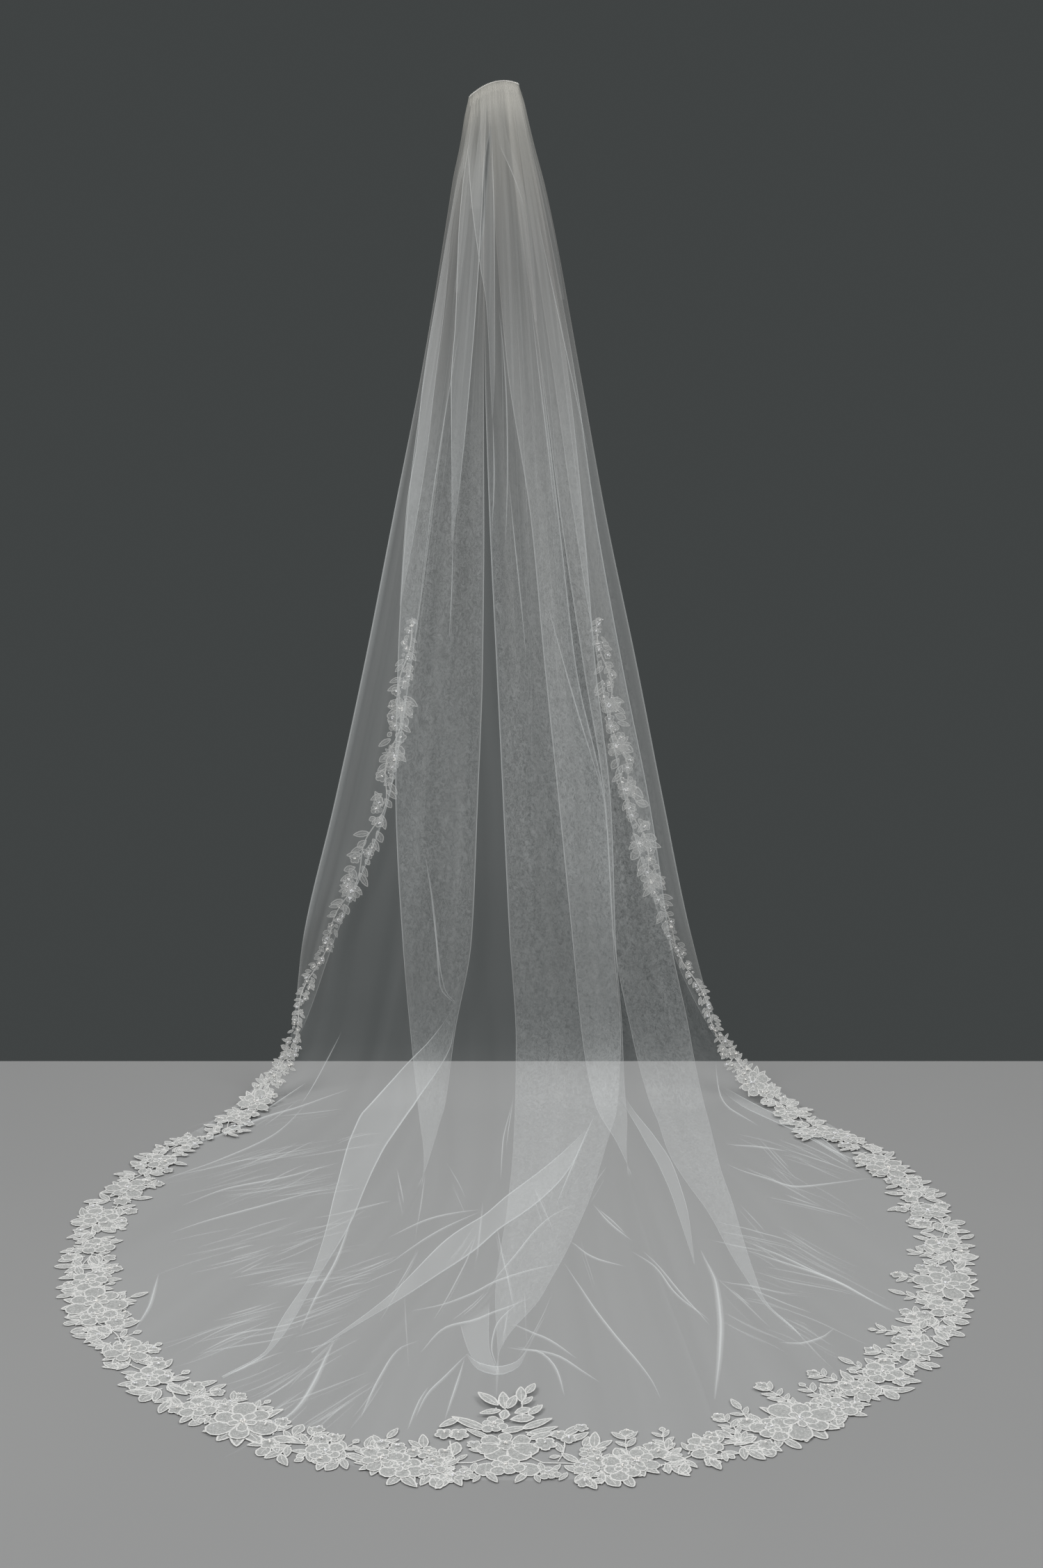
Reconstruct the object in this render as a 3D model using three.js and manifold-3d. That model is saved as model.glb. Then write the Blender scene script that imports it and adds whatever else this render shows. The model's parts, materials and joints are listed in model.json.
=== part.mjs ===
// A cathedral-length bridal veil, hung from its comb with the train spread on the floor.
// The origin is on the comb, where it is pinned. X runs to the right, Y away from the
// viewer and Z up, in millimetres.

import * as THREE from 'three';
import { mergeVertices } from 'three/addons/utils/BufferGeometryUtils.js';
import Module from 'manifold-3d';

const wasm = await Module();
wasm.setup();

// Driving dimensions of the hanging and lying sheet
const COMB_HEIGHT = 1750;        // comb above the floor
const BEND_RADIUS = 100;         // where the hanging cloth turns on to the floor
const LEAN = 30;                 // how far the cloth comes forward on the way down
const TULLE = 1.2;               // wall of the tulle sheet
const LACE = 1.2;                // thickness of the corded lace
const CLEAR = 0.35;              // gap kept between pieces

// Driving dimensions of the comb and heading
const COMB_WIDTH = 82;
const COMB_PLATE = 1.6;
const COMB_BACK = 1;             // the comb's plate lies this far behind the gathers
const COMB_BAR = 7;
const COMB_TOOTH = 36;
const COMB_INSET = 3;            // the comb ends this far inside its binding
const TEETH = 15;
const TOOTH_SHARE = 0.45;        // width of a tooth as a share of its pitch
const TOOTH_POINT = 2;
const BINDING_HIGH = 4.6;
const BINDING_DEEP = 11;
const HEADING_HIGH = 15;
const HEADING_DEEP = 6.5;
const HEADING_PLEATS = 13;
const ARC_TOP = 7;               // rise of the comb's crown above the origin
const ARC_CENTRE = 16;           // the crown is right of the middle, so the left end is lower
const ARC_FALL = 0.0078;         // fall from the crown, in mm per mm squared

// Outline of the train on the floor, an oval in sheet coordinates
const TRAIN = { x: 40, s: 2290, across: 710, along: 730, open: 125 };

// The sheet is laid out on a bent plane: x across, s down from the comb and then out
// over the floor, and h the height above that plane, towards the viewer and then up.
const HANG_LENGTH = COMB_HEIGHT - BEND_RADIUS;
const BEND_LENGTH = BEND_RADIUS * Math.PI / 2;

// Lines along which the cloth turns back on itself, left to right along the sheet.
// hang: x at each of HANG_ROWS. floor: [x, s] on the floor, the last one the pleat's tip.
// end: angle on the train's outline, from the front centre. side: which way it bulges,
// 0 for the free edges. tuck: how far a free edge ends inside the outline.
const HANG_ROWS = [0, 200, 450, 700, 950, 1200, 1450, 1650];
const FOLDS = {
  left_edge:  { hang: [-24, -49, -73, -106, -143, -187, -284, -359], floor: [[-446, 1775]],
    end: -125, side: 0, tuck: 12 },
  left_fold:  { hang: [-44, -76, -120, -172, -224, -281, -342, -372], floor: [[-458, 1769]],
    end: -125, side: -1 },
  panel_out:  { hang: [-12, -16, -18, -18, -21, -31, -43, -77], floor: [[-94, 1810], [-118, 2070]],
    end: -37, side: 1 },
  panel_in:   { hang: [-34, -70, -114, -148, -166, -173, -165, -153], floor: [[-137, 1810], [-118, 2070]],
    end: -36, side: -1 },
  centre_out: { hang: [28, 53, 78, 108, 138, 190, 207, 223],
    floor: [[214, 1810], [184, 2000], [150, 2200], [78, 2500], [12, 2694]], end: -3, side: 1 },
  centre_in:  { hang: [-23, -19, -16, -9, 2, 13, 24, 35],
    floor: [[33, 1810], [30, 2000], [22, 2200], [6, 2500], [12, 2694]], end: -2, side: -1 },
  band_out:   { hang: [37, 79, 121, 149, 171, 200, 211, 227], floor: [[231, 1810], [222, 2034]],
    end: 23, side: 1 },
  band_in:    { hang: [-12, 0, 21, 60, 84, 110, 135, 155], floor: [[182, 1810], [222, 2034]],
    end: 24, side: -1 },
  right_out:  { hang: [40, 84, 132, 170, 217, 268, 308, 350],
    floor: [[372, 1810], [375, 2000], [386, 2200], [401, 2500], [443, 2622]], end: 44, side: 1 },
  right_in:   { hang: [17, 40, 78, 111, 150, 190, 208, 246],
    floor: [[280, 1810], [297, 2000], [341, 2200], [395, 2500], [443, 2622]], end: 45, side: -1 },
  right_fold: { hang: [43, 93, 141, 188, 242, 293, 347, 411], floor: [[520, 1759]],
    end: 125, side: 1 },
  right_edge: { hang: [28, 57, 96, 133, 175, 226, 302, 398], floor: [[508, 1765]],
    end: 125, side: 0, tuck: 12 },
};

// Layers of cloth between the folds. rank: order from the wall outwards. steps: columns.
// pleat: the fold whose tip ends the overlap with the layers above.
const LAYERS = [
  { from: 'left_edge', to: 'left_fold', rank: -1, steps: 3, pleat: 'left_fold' },
  { from: 'left_fold', to: 'panel_out', rank: 0, steps: 7, pleat: 'panel_out' },
  { from: 'panel_out', to: 'panel_in', rank: 1, steps: 2, pleat: 'panel_out' },
  { from: 'panel_in', to: 'centre_out', rank: 8, steps: 5, pleat: 'centre_out' },
  { from: 'centre_out', to: 'centre_in', rank: 7, steps: 2, pleat: 'centre_out' },
  { from: 'centre_in', to: 'band_out', rank: 6, steps: 3, pleat: 'centre_out' },
  { from: 'band_out', to: 'band_in', rank: 5, steps: 2, pleat: 'band_out' },
  { from: 'band_in', to: 'right_out', rank: 4, steps: 4, pleat: 'band_out' },
  { from: 'right_out', to: 'right_in', rank: 3, steps: 2, pleat: 'right_out' },
  { from: 'right_in', to: 'right_fold', rank: 2, steps: 6, pleat: 'right_out' },
  { from: 'right_fold', to: 'right_edge', rank: -1, steps: 3, pleat: 'right_fold' },
];

// Room between the layers, and between the side flaps and the front, along s
const STACK = [
  { s: 0, pitch: 1.9, hollow: 2.4 },
  { s: 200, pitch: 4, hollow: 9 },
  { s: 500, pitch: 7, hollow: 20 },
  { s: 950, pitch: 9, hollow: 32 },
  { s: 1300, pitch: 9, hollow: 32 },
  { s: 1550, pitch: 6, hollow: 10 },
  { s: 1640, pitch: 4, hollow: 0 },
  { s: 1850, pitch: 2.6, hollow: 0 },
  { s: 3100, pitch: 2.6, hollow: 0 },
];

// Soft slope beside a layer that rests on another, near the comb and lower down
const SHOULDER = { high: 12, low: 38, lowFrom: 900 };
const SPENT_PLEAT = 3;           // half the width that a pleat keeps past its tip

// Rows of the sheet: lengths down the hang, then shares of the way to the outline
const SHEET_ROWS = [HEADING_HIGH + CLEAR, 100, 220, 420, 640, 860, 1060, 1260, 1440, 1560];
const FLOOR_SHARES = [0, 0.04, 0.08, 0.13, 0.2, 0.29, 0.42, 0.56, 0.7, 0.82, 0.92, 1];

// Lace on the train: the angle of each main flower, its size, and where its piece starts
const TRAIN_LACE = [
  { name: 'lace_train_1', start: -124, end: -89, flower: -105, petal: 50 },
  { name: 'lace_train_2', start: -88.5, end: -53, flower: -70, petal: 50 },
  { name: 'lace_train_3', start: -52.5, end: -25, flower: -33, petal: 52 },
  { name: 'lace_train_4', start: -24.5, end: -9, flower: -15, petal: 40 },
  { name: 'lace_train_5', start: 9, end: 24.5, flower: 14, petal: 40 },
  { name: 'lace_train_6', start: 25, end: 46, flower: 34, petal: 52 },
  { name: 'lace_train_7', start: 46.5, end: 66, flower: 57, petal: 48 },
  { name: 'lace_train_8', start: 66.5, end: 92, flower: 76, petal: 50 },
  { name: 'lace_train_9', start: 92.5, end: 124, flower: 111, petal: 50 },
];

// Lace on the hanging side edges: where each piece starts and ends down the edge
const SIDE_LACE = [
  { name: 'upper', start: 845, end: 1065, flower: 1000, petal: 20 },
  { name: 'middle', start: 1068, end: 1290, flower: 1150, petal: 26 },
  { name: 'lower', start: 1293, end: 1470, flower: 1370, petal: 22 },
];

// Lace on the narrow end of each flap, and the room it has over the bend's facets
const TURN_LACE = { start: 1495, stop: 1646 };
const BEND_ROOM = 9;
const TUCK_FADE = 98;            // angle where the lace on the train is down on the cloth

// The vine that joins the lace, and its distance inside the outline of the train
const VINE = 7;
const VINE_INSET = 44;

// Leaves of the medallion, one of each to both sides: root, direction and size
const MEDALLION_LEAVES = [
  { x: 0, inset: 80, turn: 1.35, length: 66, width: 22 },
  { x: 10, inset: 70, turn: 0.75, length: 62, width: 22 },
  { x: 46, inset: 44, turn: 1.1, length: 50, width: 22 },
  { x: 80, inset: 44, turn: 1.9, length: 44, width: 20 },
  { x: 40, inset: 44, turn: -0.9, length: 52, width: 20 },
];

// Materials
const cloth = (color, roughness) => new THREE.MeshStandardMaterial({ color, roughness, metalness: 0 });
const tulleCloth = cloth(0xe9ebea, 0.7);
const laceCloth = cloth(0xf4f3ee, 0.6);
const headingCloth = cloth(0xece6da, 0.75);
const combWire = new THREE.MeshStandardMaterial({ color: 0xc9c8c4, roughness: 0.3, metalness: 0.9 });

const radians = THREE.MathUtils.degToRad;
const smooth = (low, high, value) => THREE.MathUtils.smoothstep(value, low, high);

// Place of a point of the bent plane in space
function onSheet(x, s, h) {
  const crown = combRise(x) * (1 - smooth(HEADING_HIGH + 2, 160, s));
  if (s <= HANG_LENGTH) {
    return new THREE.Vector3(x, -LEAN * s / HANG_LENGTH - h, crown - s);
  }
  const front = -LEAN - BEND_RADIUS;
  if (s <= HANG_LENGTH + BEND_LENGTH) {
    const turn = (s - HANG_LENGTH) / BEND_RADIUS;
    const reach = BEND_RADIUS - h;
    return new THREE.Vector3(x, front + reach * Math.cos(turn), -HANG_LENGTH - reach * Math.sin(turn));
  }
  return new THREE.Vector3(x, front - (s - HANG_LENGTH - BEND_LENGTH), h - COMB_HEIGHT);
}

// Height of the comb's arched edge over the origin
function combRise(x) {
  return ARC_TOP - ARC_FALL * (x - ARC_CENTRE) ** 2;
}

// Point of the train's outline, inset towards its middle
function outline(angle, inset = 0) {
  return [
    TRAIN.x + (TRAIN.across - inset) * Math.sin(radians(angle)),
    TRAIN.s + (TRAIN.along - inset) * Math.cos(radians(angle)),
  ];
}

// Smooth curve through rows of values, with no overshoot between them
function curveThrough(keys, values) {
  const slope = keys.map((key, i) => {
    if (i === 0 || i === keys.length - 1) {
      return 0;
    }
    const before = (values[i] - values[i - 1]) / (key - keys[i - 1]);
    const after = (values[i + 1] - values[i]) / (keys[i + 1] - key);
    return before * after <= 0 ? 0 : 2 * before * after / (before + after);
  });
  const last = keys.length - 1;
  slope[0] = (values[1] - values[0]) / (keys[1] - keys[0]);
  slope[last] = (values[last] - values[last - 1]) / (keys[last] - keys[last - 1]);
  return (key) => {
    const k = Math.min(Math.max(key, keys[0]), keys[last]);
    const i = Math.min(keys.findLastIndex((start) => start <= k), last - 1);
    const span = keys[i + 1] - keys[i];
    const t = (k - keys[i]) / span;
    const a = (1 + 2 * t) * (1 - t) ** 2 * values[i] + t * (1 - t) ** 2 * span * slope[i];
    const b = t * t * (3 - 2 * t) * values[i + 1] + t * t * (t - 1) * span * slope[i + 1];
    return a + b;
  };
}

// The route of each fold: x at any s, where its pleat ends, and where it meets the outline
function foldRoutes() {
  const routes = {};
  for (const [name, fold] of Object.entries(FOLDS)) {
    const points = HANG_ROWS.map((s, i) => [fold.hang[i], s]);
    points.push(...fold.floor);
    const end = outline(fold.end, fold.tuck ?? 0);
    points.push(end);
    const route = curveThrough(points.map((point) => point[1]), points.map((point) => point[0]));
    const tip = Math.abs(fold.end) === TRAIN.open ? end[1] + 30 : fold.floor.at(-1)[1];
    routes[name] = { x: route, tip, end: end[1], side: fold.side, angle: fold.end };
  }
  return routes;
}

const ROUTES = foldRoutes();
const pitchAt = curveThrough(STACK.map((row) => row.s), STACK.map((row) => row.pitch));
const hollowAt = curveThrough(STACK.map((row) => row.s), STACK.map((row) => row.hollow));

// How much of a pleat is left at s: 1 above its tip, 0 well past it
function pleatLeft(name, s) {
  const { tip } = ROUTES[name];
  return 1 - smooth(tip - 20, tip + 50, s);
}

// Height of the rearmost cloth: the side lace lies behind it until it turns on to the floor
function restHeight(s) {
  return TULLE / 2 + (LACE + CLEAR) * (1 - smooth(HANG_LENGTH, HANG_LENGTH + BEND_LENGTH, s));
}

// Height of a layer: it rests on every layer below it, with soft shoulders beside them
function layerHeight(layer, x, s) {
  if (layer.rank < 0) {
    return restHeight(s);
  }
  const shoulder = THREE.MathUtils.lerp(SHOULDER.high, SHOULDER.low, smooth(0, SHOULDER.lowFrom, s));
  let covers = 0;
  for (const other of LAYERS) {
    if (other.rank < layer.rank) {
      const edges = [ROUTES[other.from].x(s), ROUTES[other.to].x(s)];
      const inLeft = smooth(Math.min(...edges) - shoulder, Math.min(...edges), x);
      const inRight = 1 - smooth(Math.max(...edges), Math.max(...edges) + shoulder, x);
      covers += inLeft * inRight * pleatLeft(other.pleat, s);
    }
  }
  return restHeight(s) + hollowAt(s) + pitchAt(s) * covers;
}

// How far the round outline stands out from the straight line between two folds' ends
function outlineBulge(from, to, share, spread) {
  const [x, s] = outline(THREE.MathUtils.lerp(from.angle, to.angle, share));
  const ends = [outline(from.angle), outline(to.angle)];
  const straightX = THREE.MathUtils.lerp(ends[0][0], ends[1][0], share);
  const straightS = THREE.MathUtils.lerp(ends[0][1], ends[1][1], share);
  return [(x - straightX) * spread, (s - straightS) * spread];
}

// The row of the sheet across one level, as points (x, s, h). spread: 0 on the hang,
// growing to 1 at the outline of the train.
function sheetRow(sOf, spread = 0) {
  const row = [];
  LAYERS.forEach((layer, number) => {
    const ends = [layer.from, layer.to].map((name) => {
      const route = ROUTES[name];
      const s = sOf(route);
      return { s, route, left: pleatLeft(name, s), x: route.x(s) };
    });
    const [start, stop] = ends;
    const turn = (end, forward) => {
      const other = LAYERS[number + (forward ? 1 : -1)];
      if (!other) {
        return 0;
      }
      const climb = Math.abs(layerHeight(other, end.x, end.s) - layerHeight(layer, end.x, end.s));
      const along = forward ? -1 : 1;
      return -end.route.side * Math.max(climb / 2, 1) * end.left + along * SPENT_PLEAT * (1 - end.left);
    };
    const x0 = start.x + turn(start, false);
    const x1 = stop.x + turn(stop, true);
    for (let i = 0; i <= layer.steps; i += 1) {
      const share = i / layer.steps;
      const bulge = outlineBulge(start.route, stop.route, share, spread);
      const x = THREE.MathUtils.lerp(x0, x1, share) + bulge[0];
      const s = THREE.MathUtils.lerp(start.s, stop.s, share) + bulge[1];
      row.push([x, s, layerHeight(layer, x, s)]);
    }
    if (number < LAYERS.length - 1) {
      const next = LAYERS[number + 1];
      const low = layerHeight(layer, stop.x, stop.s);
      const high = layerHeight(next, stop.x, stop.s);
      row.push([stop.x, stop.s, (low + high) / 2]);
    }
  });
  return row;
}

// The two faces of the sheet along a row, half a wall to either side
function rowFaces(row) {
  const faces = { front: [], back: [] };
  row.forEach(([x, s, h], i) => {
    const before = row[Math.max(i - 1, 0)];
    const after = row[Math.min(i + 1, row.length - 1)];
    const along = new THREE.Vector2(after[0] - before[0], after[2] - before[2]).normalize();
    const reach = TULLE / 2;
    faces.front.push(onSheet(x - along.y * reach, s, h + along.x * reach));
    faces.back.push(onSheet(x + along.y * reach, s, h - along.x * reach));
  });
  return faces;
}

// A closed solid from rows of front and back points
function walledSheet(rows) {
  const width = rows[0].front.length;
  const positions = [];
  const index = [];
  for (const row of rows) {
    for (const point of [...row.front, ...row.back]) {
      positions.push(point.x, point.y, point.z);
    }
  }
  const at = (row, column, back) => row * 2 * width + (back ? width : 0) + column;
  const quad = (a, b, c, d) => index.push(a, b, c, a, c, d);
  for (let r = 0; r < rows.length - 1; r += 1) {
    for (let c = 0; c < width - 1; c += 1) {
      quad(at(r, c), at(r + 1, c), at(r + 1, c + 1), at(r, c + 1));
      quad(at(r, c, true), at(r, c + 1, true), at(r + 1, c + 1, true), at(r + 1, c, true));
    }
    quad(at(r, 0), at(r, 0, true), at(r + 1, 0, true), at(r + 1, 0));
    quad(at(r, width - 1), at(r + 1, width - 1), at(r + 1, width - 1, true), at(r, width - 1, true));
  }
  const last = rows.length - 1;
  for (let c = 0; c < width - 1; c += 1) {
    quad(at(0, c), at(0, c + 1), at(0, c + 1, true), at(0, c, true));
    quad(at(last, c), at(last, c, true), at(last, c + 1, true), at(last, c + 1));
  }
  const geometry = new THREE.BufferGeometry();
  geometry.setAttribute('position', new THREE.Float32BufferAttribute(positions, 3));
  geometry.setIndex(index);
  geometry.computeVertexNormals();
  return geometry;
}

function tulleVeil() {
  const rows = SHEET_ROWS.map((s) => rowFaces(sheetRow(() => s)));
  for (const share of FLOOR_SHARES) {
    const sOf = (route) => THREE.MathUtils.lerp(HANG_LENGTH, route.end, share);
    rows.push(rowFaces(sheetRow(sOf, share ** 1.3)));
  }
  return walledSheet(rows);
}

// Closed leaf or petal outline from its root, in the plane of the lace
function leafOutline(root, angle, length, width, sides = 4) {
  const points = [];
  for (let i = 0; i < sides; i += 1) {
    const turn = 2 * Math.PI * i / sides;
    const along = length * (1 - Math.cos(turn)) / 2;
    const across = width / 2 * Math.sin(turn);
    points.push([
      root[0] + along * Math.cos(angle) - across * Math.sin(angle),
      root[1] + along * Math.sin(angle) + across * Math.cos(angle),
    ]);
  }
  return points;
}

// Solid prism over an outline whose points are mapped from the lace plane to x and s
function prism(points, place) {
  const shape = new THREE.Shape(points.map((point) => new THREE.Vector2(...place(point))));
  const geometry = new THREE.ExtrudeGeometry(shape, { depth: LACE, bevelEnabled: false, curveSegments: 1 });
  return toSolid(geometry);
}

function toSolid(geometry) {
  const bare = geometry.clone();
  bare.deleteAttribute('normal');
  bare.deleteAttribute('uv');
  const merged = mergeVertices(bare, 1e-3);
  return new wasm.Manifold(new wasm.Mesh({
    numProp: 3,
    vertProperties: new Float32Array(merged.attributes.position.array),
    triVerts: new Uint32Array(merged.index.array),
  }));
}

// The joined lace, carried from its plane on to the bent sheet
function fromSolid(solid, underside) {
  const mesh = solid.getMesh();
  const positions = [];
  for (let i = 0; i < mesh.vertProperties.length; i += mesh.numProp) {
    const [x, s, up] = mesh.vertProperties.slice(i, i + 3);
    const point = onSheet(x, s, underside(x, s) + up);
    positions.push(point.x, point.y, point.z);
  }
  const geometry = new THREE.BufferGeometry();
  geometry.setAttribute('position', new THREE.Float32BufferAttribute(positions, 3));
  geometry.setIndex(Array.from(mesh.triVerts).reverse());
  geometry.computeVertexNormals();
  return geometry;
}

// Outline of a vine that follows the edge, b inside it
function vineOutline(start, stop, inset, width, step) {
  const outer = [];
  const inner = [];
  const count = Math.max(2, Math.round((stop - start) / step));
  for (let i = 0; i <= count; i += 1) {
    const a = THREE.MathUtils.lerp(start, stop, i / count);
    outer.push([a, inset - width / 2]);
    inner.unshift([a, inset + width / 2]);
  }
  return [...outer, ...inner];
}

// One sprig of lace along an edge: a vine with leaves to both sides and flowers on it
function laceSprig({ start, stop, flower, petal, inset, reach, leafStep }, place) {
  const outlines = [vineOutline(start, stop, inset, VINE, 55)];
  const petals = 5;
  for (let i = 0; i < petals; i += 1) {
    outlines.push(leafOutline([flower, inset], 2 * Math.PI * (i + 0.25) / petals, petal, petal * 0.7, 6));
  }
  const leaves = Math.floor((stop - start - 10) / leafStep);
  for (let i = 0; i <= leaves; i += 1) {
    const a = start + 6 + i * leafStep;
    const inward = i % 2 === 0;
    const lean = a < flower ? 1 : -1;
    const length = inward ? reach * (0.8 + 0.2 * Math.cos(1.7 * i)) : inset + 9;
    const angle = inward ? Math.PI / 2 + 0.6 * lean : -Math.PI / 2 - 0.7 * lean;
    const nearFlower = Math.abs(a - flower) < petal * 0.5;
    if (!nearFlower) {
      outlines.push(leafOutline([a, inset], angle, length, length * 0.42));
    }
  }
  return joined(outlines, place).intersect(prism(vineOutline(start, stop, inset, 320, 40), place));
}

// All outlines of a piece of lace, joined into one solid
function joined(outlines, place) {
  return outlines.map((points) => prism(points, place)).reduce((whole, piece) => whole.add(piece));
}

// Underside of the lace on the train, which rises over the tucked side edges
function overTrain(x, s) {
  const angle = Math.atan2(x - TRAIN.x, s - TRAIN.s) * 180 / Math.PI;
  const tucked = Math.max(0, (Math.abs(angle) - TUCK_FADE) / (TRAIN.open - TUCK_FADE));
  return TULLE + CLEAR + (pitchAt(s) + CLEAR) * tucked;
}

// Lace lying on the train, between two angles of its outline
function trainLace({ start, end, flower, petal }) {
  const perDegree = radians(1) * (TRAIN.across + TRAIN.along) / 2;
  const place = ([a, b]) => outline(-a / perDegree, b);
  const sprig = {
    start: -end * perDegree,
    stop: -start * perDegree,
    flower: -flower * perDegree,
    petal,
    inset: VINE_INSET,
    reach: 62,
    leafStep: 44,
  };
  return fromSolid(laceSprig(sprig, place), overTrain);
}

// The symmetric medallion at the middle of the train's front
function medallion() {
  const perDegree = radians(1) * (TRAIN.across + TRAIN.along) / 2;
  const place = ([a, b]) => outline(-a / perDegree, b);
  const outlines = [vineOutline(-104, 104, VINE_INSET, VINE, 26)];
  const petals = 6;
  for (let i = 0; i < petals; i += 1) {
    outlines.push(leafOutline([0, 50], 2 * Math.PI * (i + 0.5) / petals, 46, 32, 6));
  }
  for (const side of [-1, 1]) {
    for (const leaf of MEDALLION_LEAVES) {
      const turn = side > 0 ? leaf.turn : Math.PI - leaf.turn;
      outlines.push(leafOutline([side * leaf.x, leaf.inset], turn, leaf.length, leaf.width));
    }
  }
  return fromSolid(joined(outlines, place), overTrain);
}

// Lace on a hanging side edge, on the wall side of its flap
function sideLace(edge, direction, { start, end, flower, petal }) {
  const route = ROUTES[edge].x;
  const place = ([a, b]) => [route(a) - direction * b, a];
  const sprig = { start, stop: end, flower, petal, inset: 24, reach: 26, leafStep: 37 };
  return fromSolid(laceSprig(sprig, place), () => 0);
}

// Lace on the narrow end of the flap, where the side edge turns outwards
function turnLace(side) {
  const edges = side < 0 ? ['left_edge', 'left_fold'] : ['right_edge', 'right_fold'];
  const rows = [];
  const steps = 7;
  for (let i = 0; i <= steps; i += 1) {
    const s = THREE.MathUtils.lerp(TURN_LACE.start, TURN_LACE.stop, i / steps);
    const scallop = 5 * Math.abs(Math.sin(2 * Math.PI * i / steps));
    const xs = edges.map((name) => ROUTES[name].x(s)).sort((a, b) => a - b);
    const ends = [[xs[0] - 4 - scallop, s], [xs[1] + 4 + scallop, s]];
    rows.push(laceStrip(ends, () => 0));
  }
  return walledSheet(rows);
}

// Lace round the corner, where the side edge comes down on to the floor
function cornerLace(side) {
  const route = ROUTES[side < 0 ? 'left_edge' : 'right_edge'];
  const rows = [];
  const steps = 14;
  for (let i = 0; i <= steps; i += 1) {
    const s = THREE.MathUtils.lerp(HANG_LENGTH + 8, route.end - 3, i / steps);
    const x = route.x(s);
    const inward = new THREE.Vector2(10, route.x(s - 5) - route.x(s + 5)).normalize();
    inward.multiplyScalar(-side);
    const scallop = 8 * Math.abs(Math.sin(4 * Math.PI * i / steps));
    const wide = 20 + 50 * smooth(0, steps, i) + scallop;
    const outer = [x - inward.x * (scallop + 1), s - inward.y * (scallop + 1)];
    const inner = [x + inward.x * wide, s + inward.y * wide];
    rows.push(laceStrip(side < 0 ? [outer, inner] : [inner, outer], overBend));
  }
  return walledSheet(rows);
}

// Underside of lace that crosses the bend: above the cloth, with room for its curve
function overBend(s) {
  const into = smooth(HANG_LENGTH + 7, HANG_LENGTH + 32, s);
  const bend = into * (1 - smooth(HANG_LENGTH + 153, HANG_LENGTH + 208, s));
  return restHeight(s) + pitchAt(s) + TULLE / 2 + CLEAR + BEND_ROOM * bend;
}

// The front and back points of a strip of lace across its width
function laceStrip(ends, low) {
  return {
    front: ends.map(([x, s]) => onSheet(x, s, low(s) + LACE)),
    back: ends.map(([x, s]) => onSheet(x, s, low(s))),
  };
}

// The comb: an arched bar with straight teeth, cut from one plate
function comb() {
  const pitch = (COMB_WIDTH - 2 * COMB_INSET) / TEETH;
  const left = -COMB_WIDTH / 2 + COMB_INSET;
  const shape = new THREE.Shape();
  const top = (x) => combRise(x) - CLEAR;
  shape.moveTo(left, top(left));
  for (let i = 0; i < TEETH; i += 1) {
    const x0 = left + i * pitch;
    const x1 = x0 + pitch * TOOTH_SHARE;
    const root = combRise(x0) - COMB_BAR;
    shape.lineTo(x0, root - COMB_TOOTH + TOOTH_POINT);
    shape.lineTo((x0 + x1) / 2, root - COMB_TOOTH);
    shape.lineTo(x1, root - COMB_TOOTH + TOOTH_POINT);
    shape.lineTo(x1, root);
    shape.lineTo(x0 + pitch, combRise(x0 + pitch) - COMB_BAR);
  }
  const right = left + TEETH * pitch;
  for (let i = 0; i <= 10; i += 1) {
    const x = THREE.MathUtils.lerp(right, left, i / 11);
    shape.lineTo(x, top(x));
  }
  const geometry = new THREE.ExtrudeGeometry(shape, { depth: COMB_PLATE, bevelEnabled: false });
  geometry.rotateX(Math.PI / 2);
  geometry.translate(0, COMB_PLATE + COMB_BACK, 0);
  return geometry;
}

// Points along the comb's arched edge
function combArc(drop, count) {
  const points = [];
  for (let i = 0; i <= count; i += 1) {
    const x = THREE.MathUtils.lerp(-COMB_WIDTH / 2, COMB_WIDTH / 2, i / count);
    points.push(new THREE.Vector3(x, 0, combRise(x) - drop));
  }
  return new THREE.CatmullRomCurve3(points);
}

// The thread-wrapped binding over the comb and the gathered edge
function binding() {
  const section = new THREE.Shape();
  const middle = (COMB_PLATE - HEADING_DEEP) / 2;
  section.absellipse(-middle, 0, BINDING_DEEP / 2, BINDING_HIGH / 2, 0, 2 * Math.PI);
  return new THREE.ExtrudeGeometry(section, {
    steps: 14,
    curveSegments: 4,
    extrudePath: combArc(-BINDING_HIGH / 2 - CLEAR, 6),
  });
}

// The gathered heading: a band of small pleats stitched below the binding
function gatheredHeading() {
  const rows = [0, 1].map((level) => {
    const row = { front: [], back: [] };
    const count = HEADING_PLEATS * 2;
    for (let i = 0; i <= count; i += 1) {
      const x = (i / count - 0.5) * (COMB_WIDTH - 2);
      const depth = (i % 2 === 0 ? 1 : -1) * (HEADING_DEEP / 2 - TULLE);
      const z = combRise(x) - 2 * CLEAR - level * (HEADING_HIGH - 2 * CLEAR);
      row.front.push(new THREE.Vector3(x, -HEADING_DEEP / 2 - depth - TULLE / 2, z));
      row.back.push(new THREE.Vector3(x, -HEADING_DEEP / 2 - depth + TULLE / 2, z));
    }
    return row;
  });
  return walledSheet(rows);
}

const veil = new THREE.Group();

function addPiece(name, geometry, material) {
  const mesh = new THREE.Mesh(geometry, material);
  mesh.name = name;
  veil.add(mesh);
}

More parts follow.
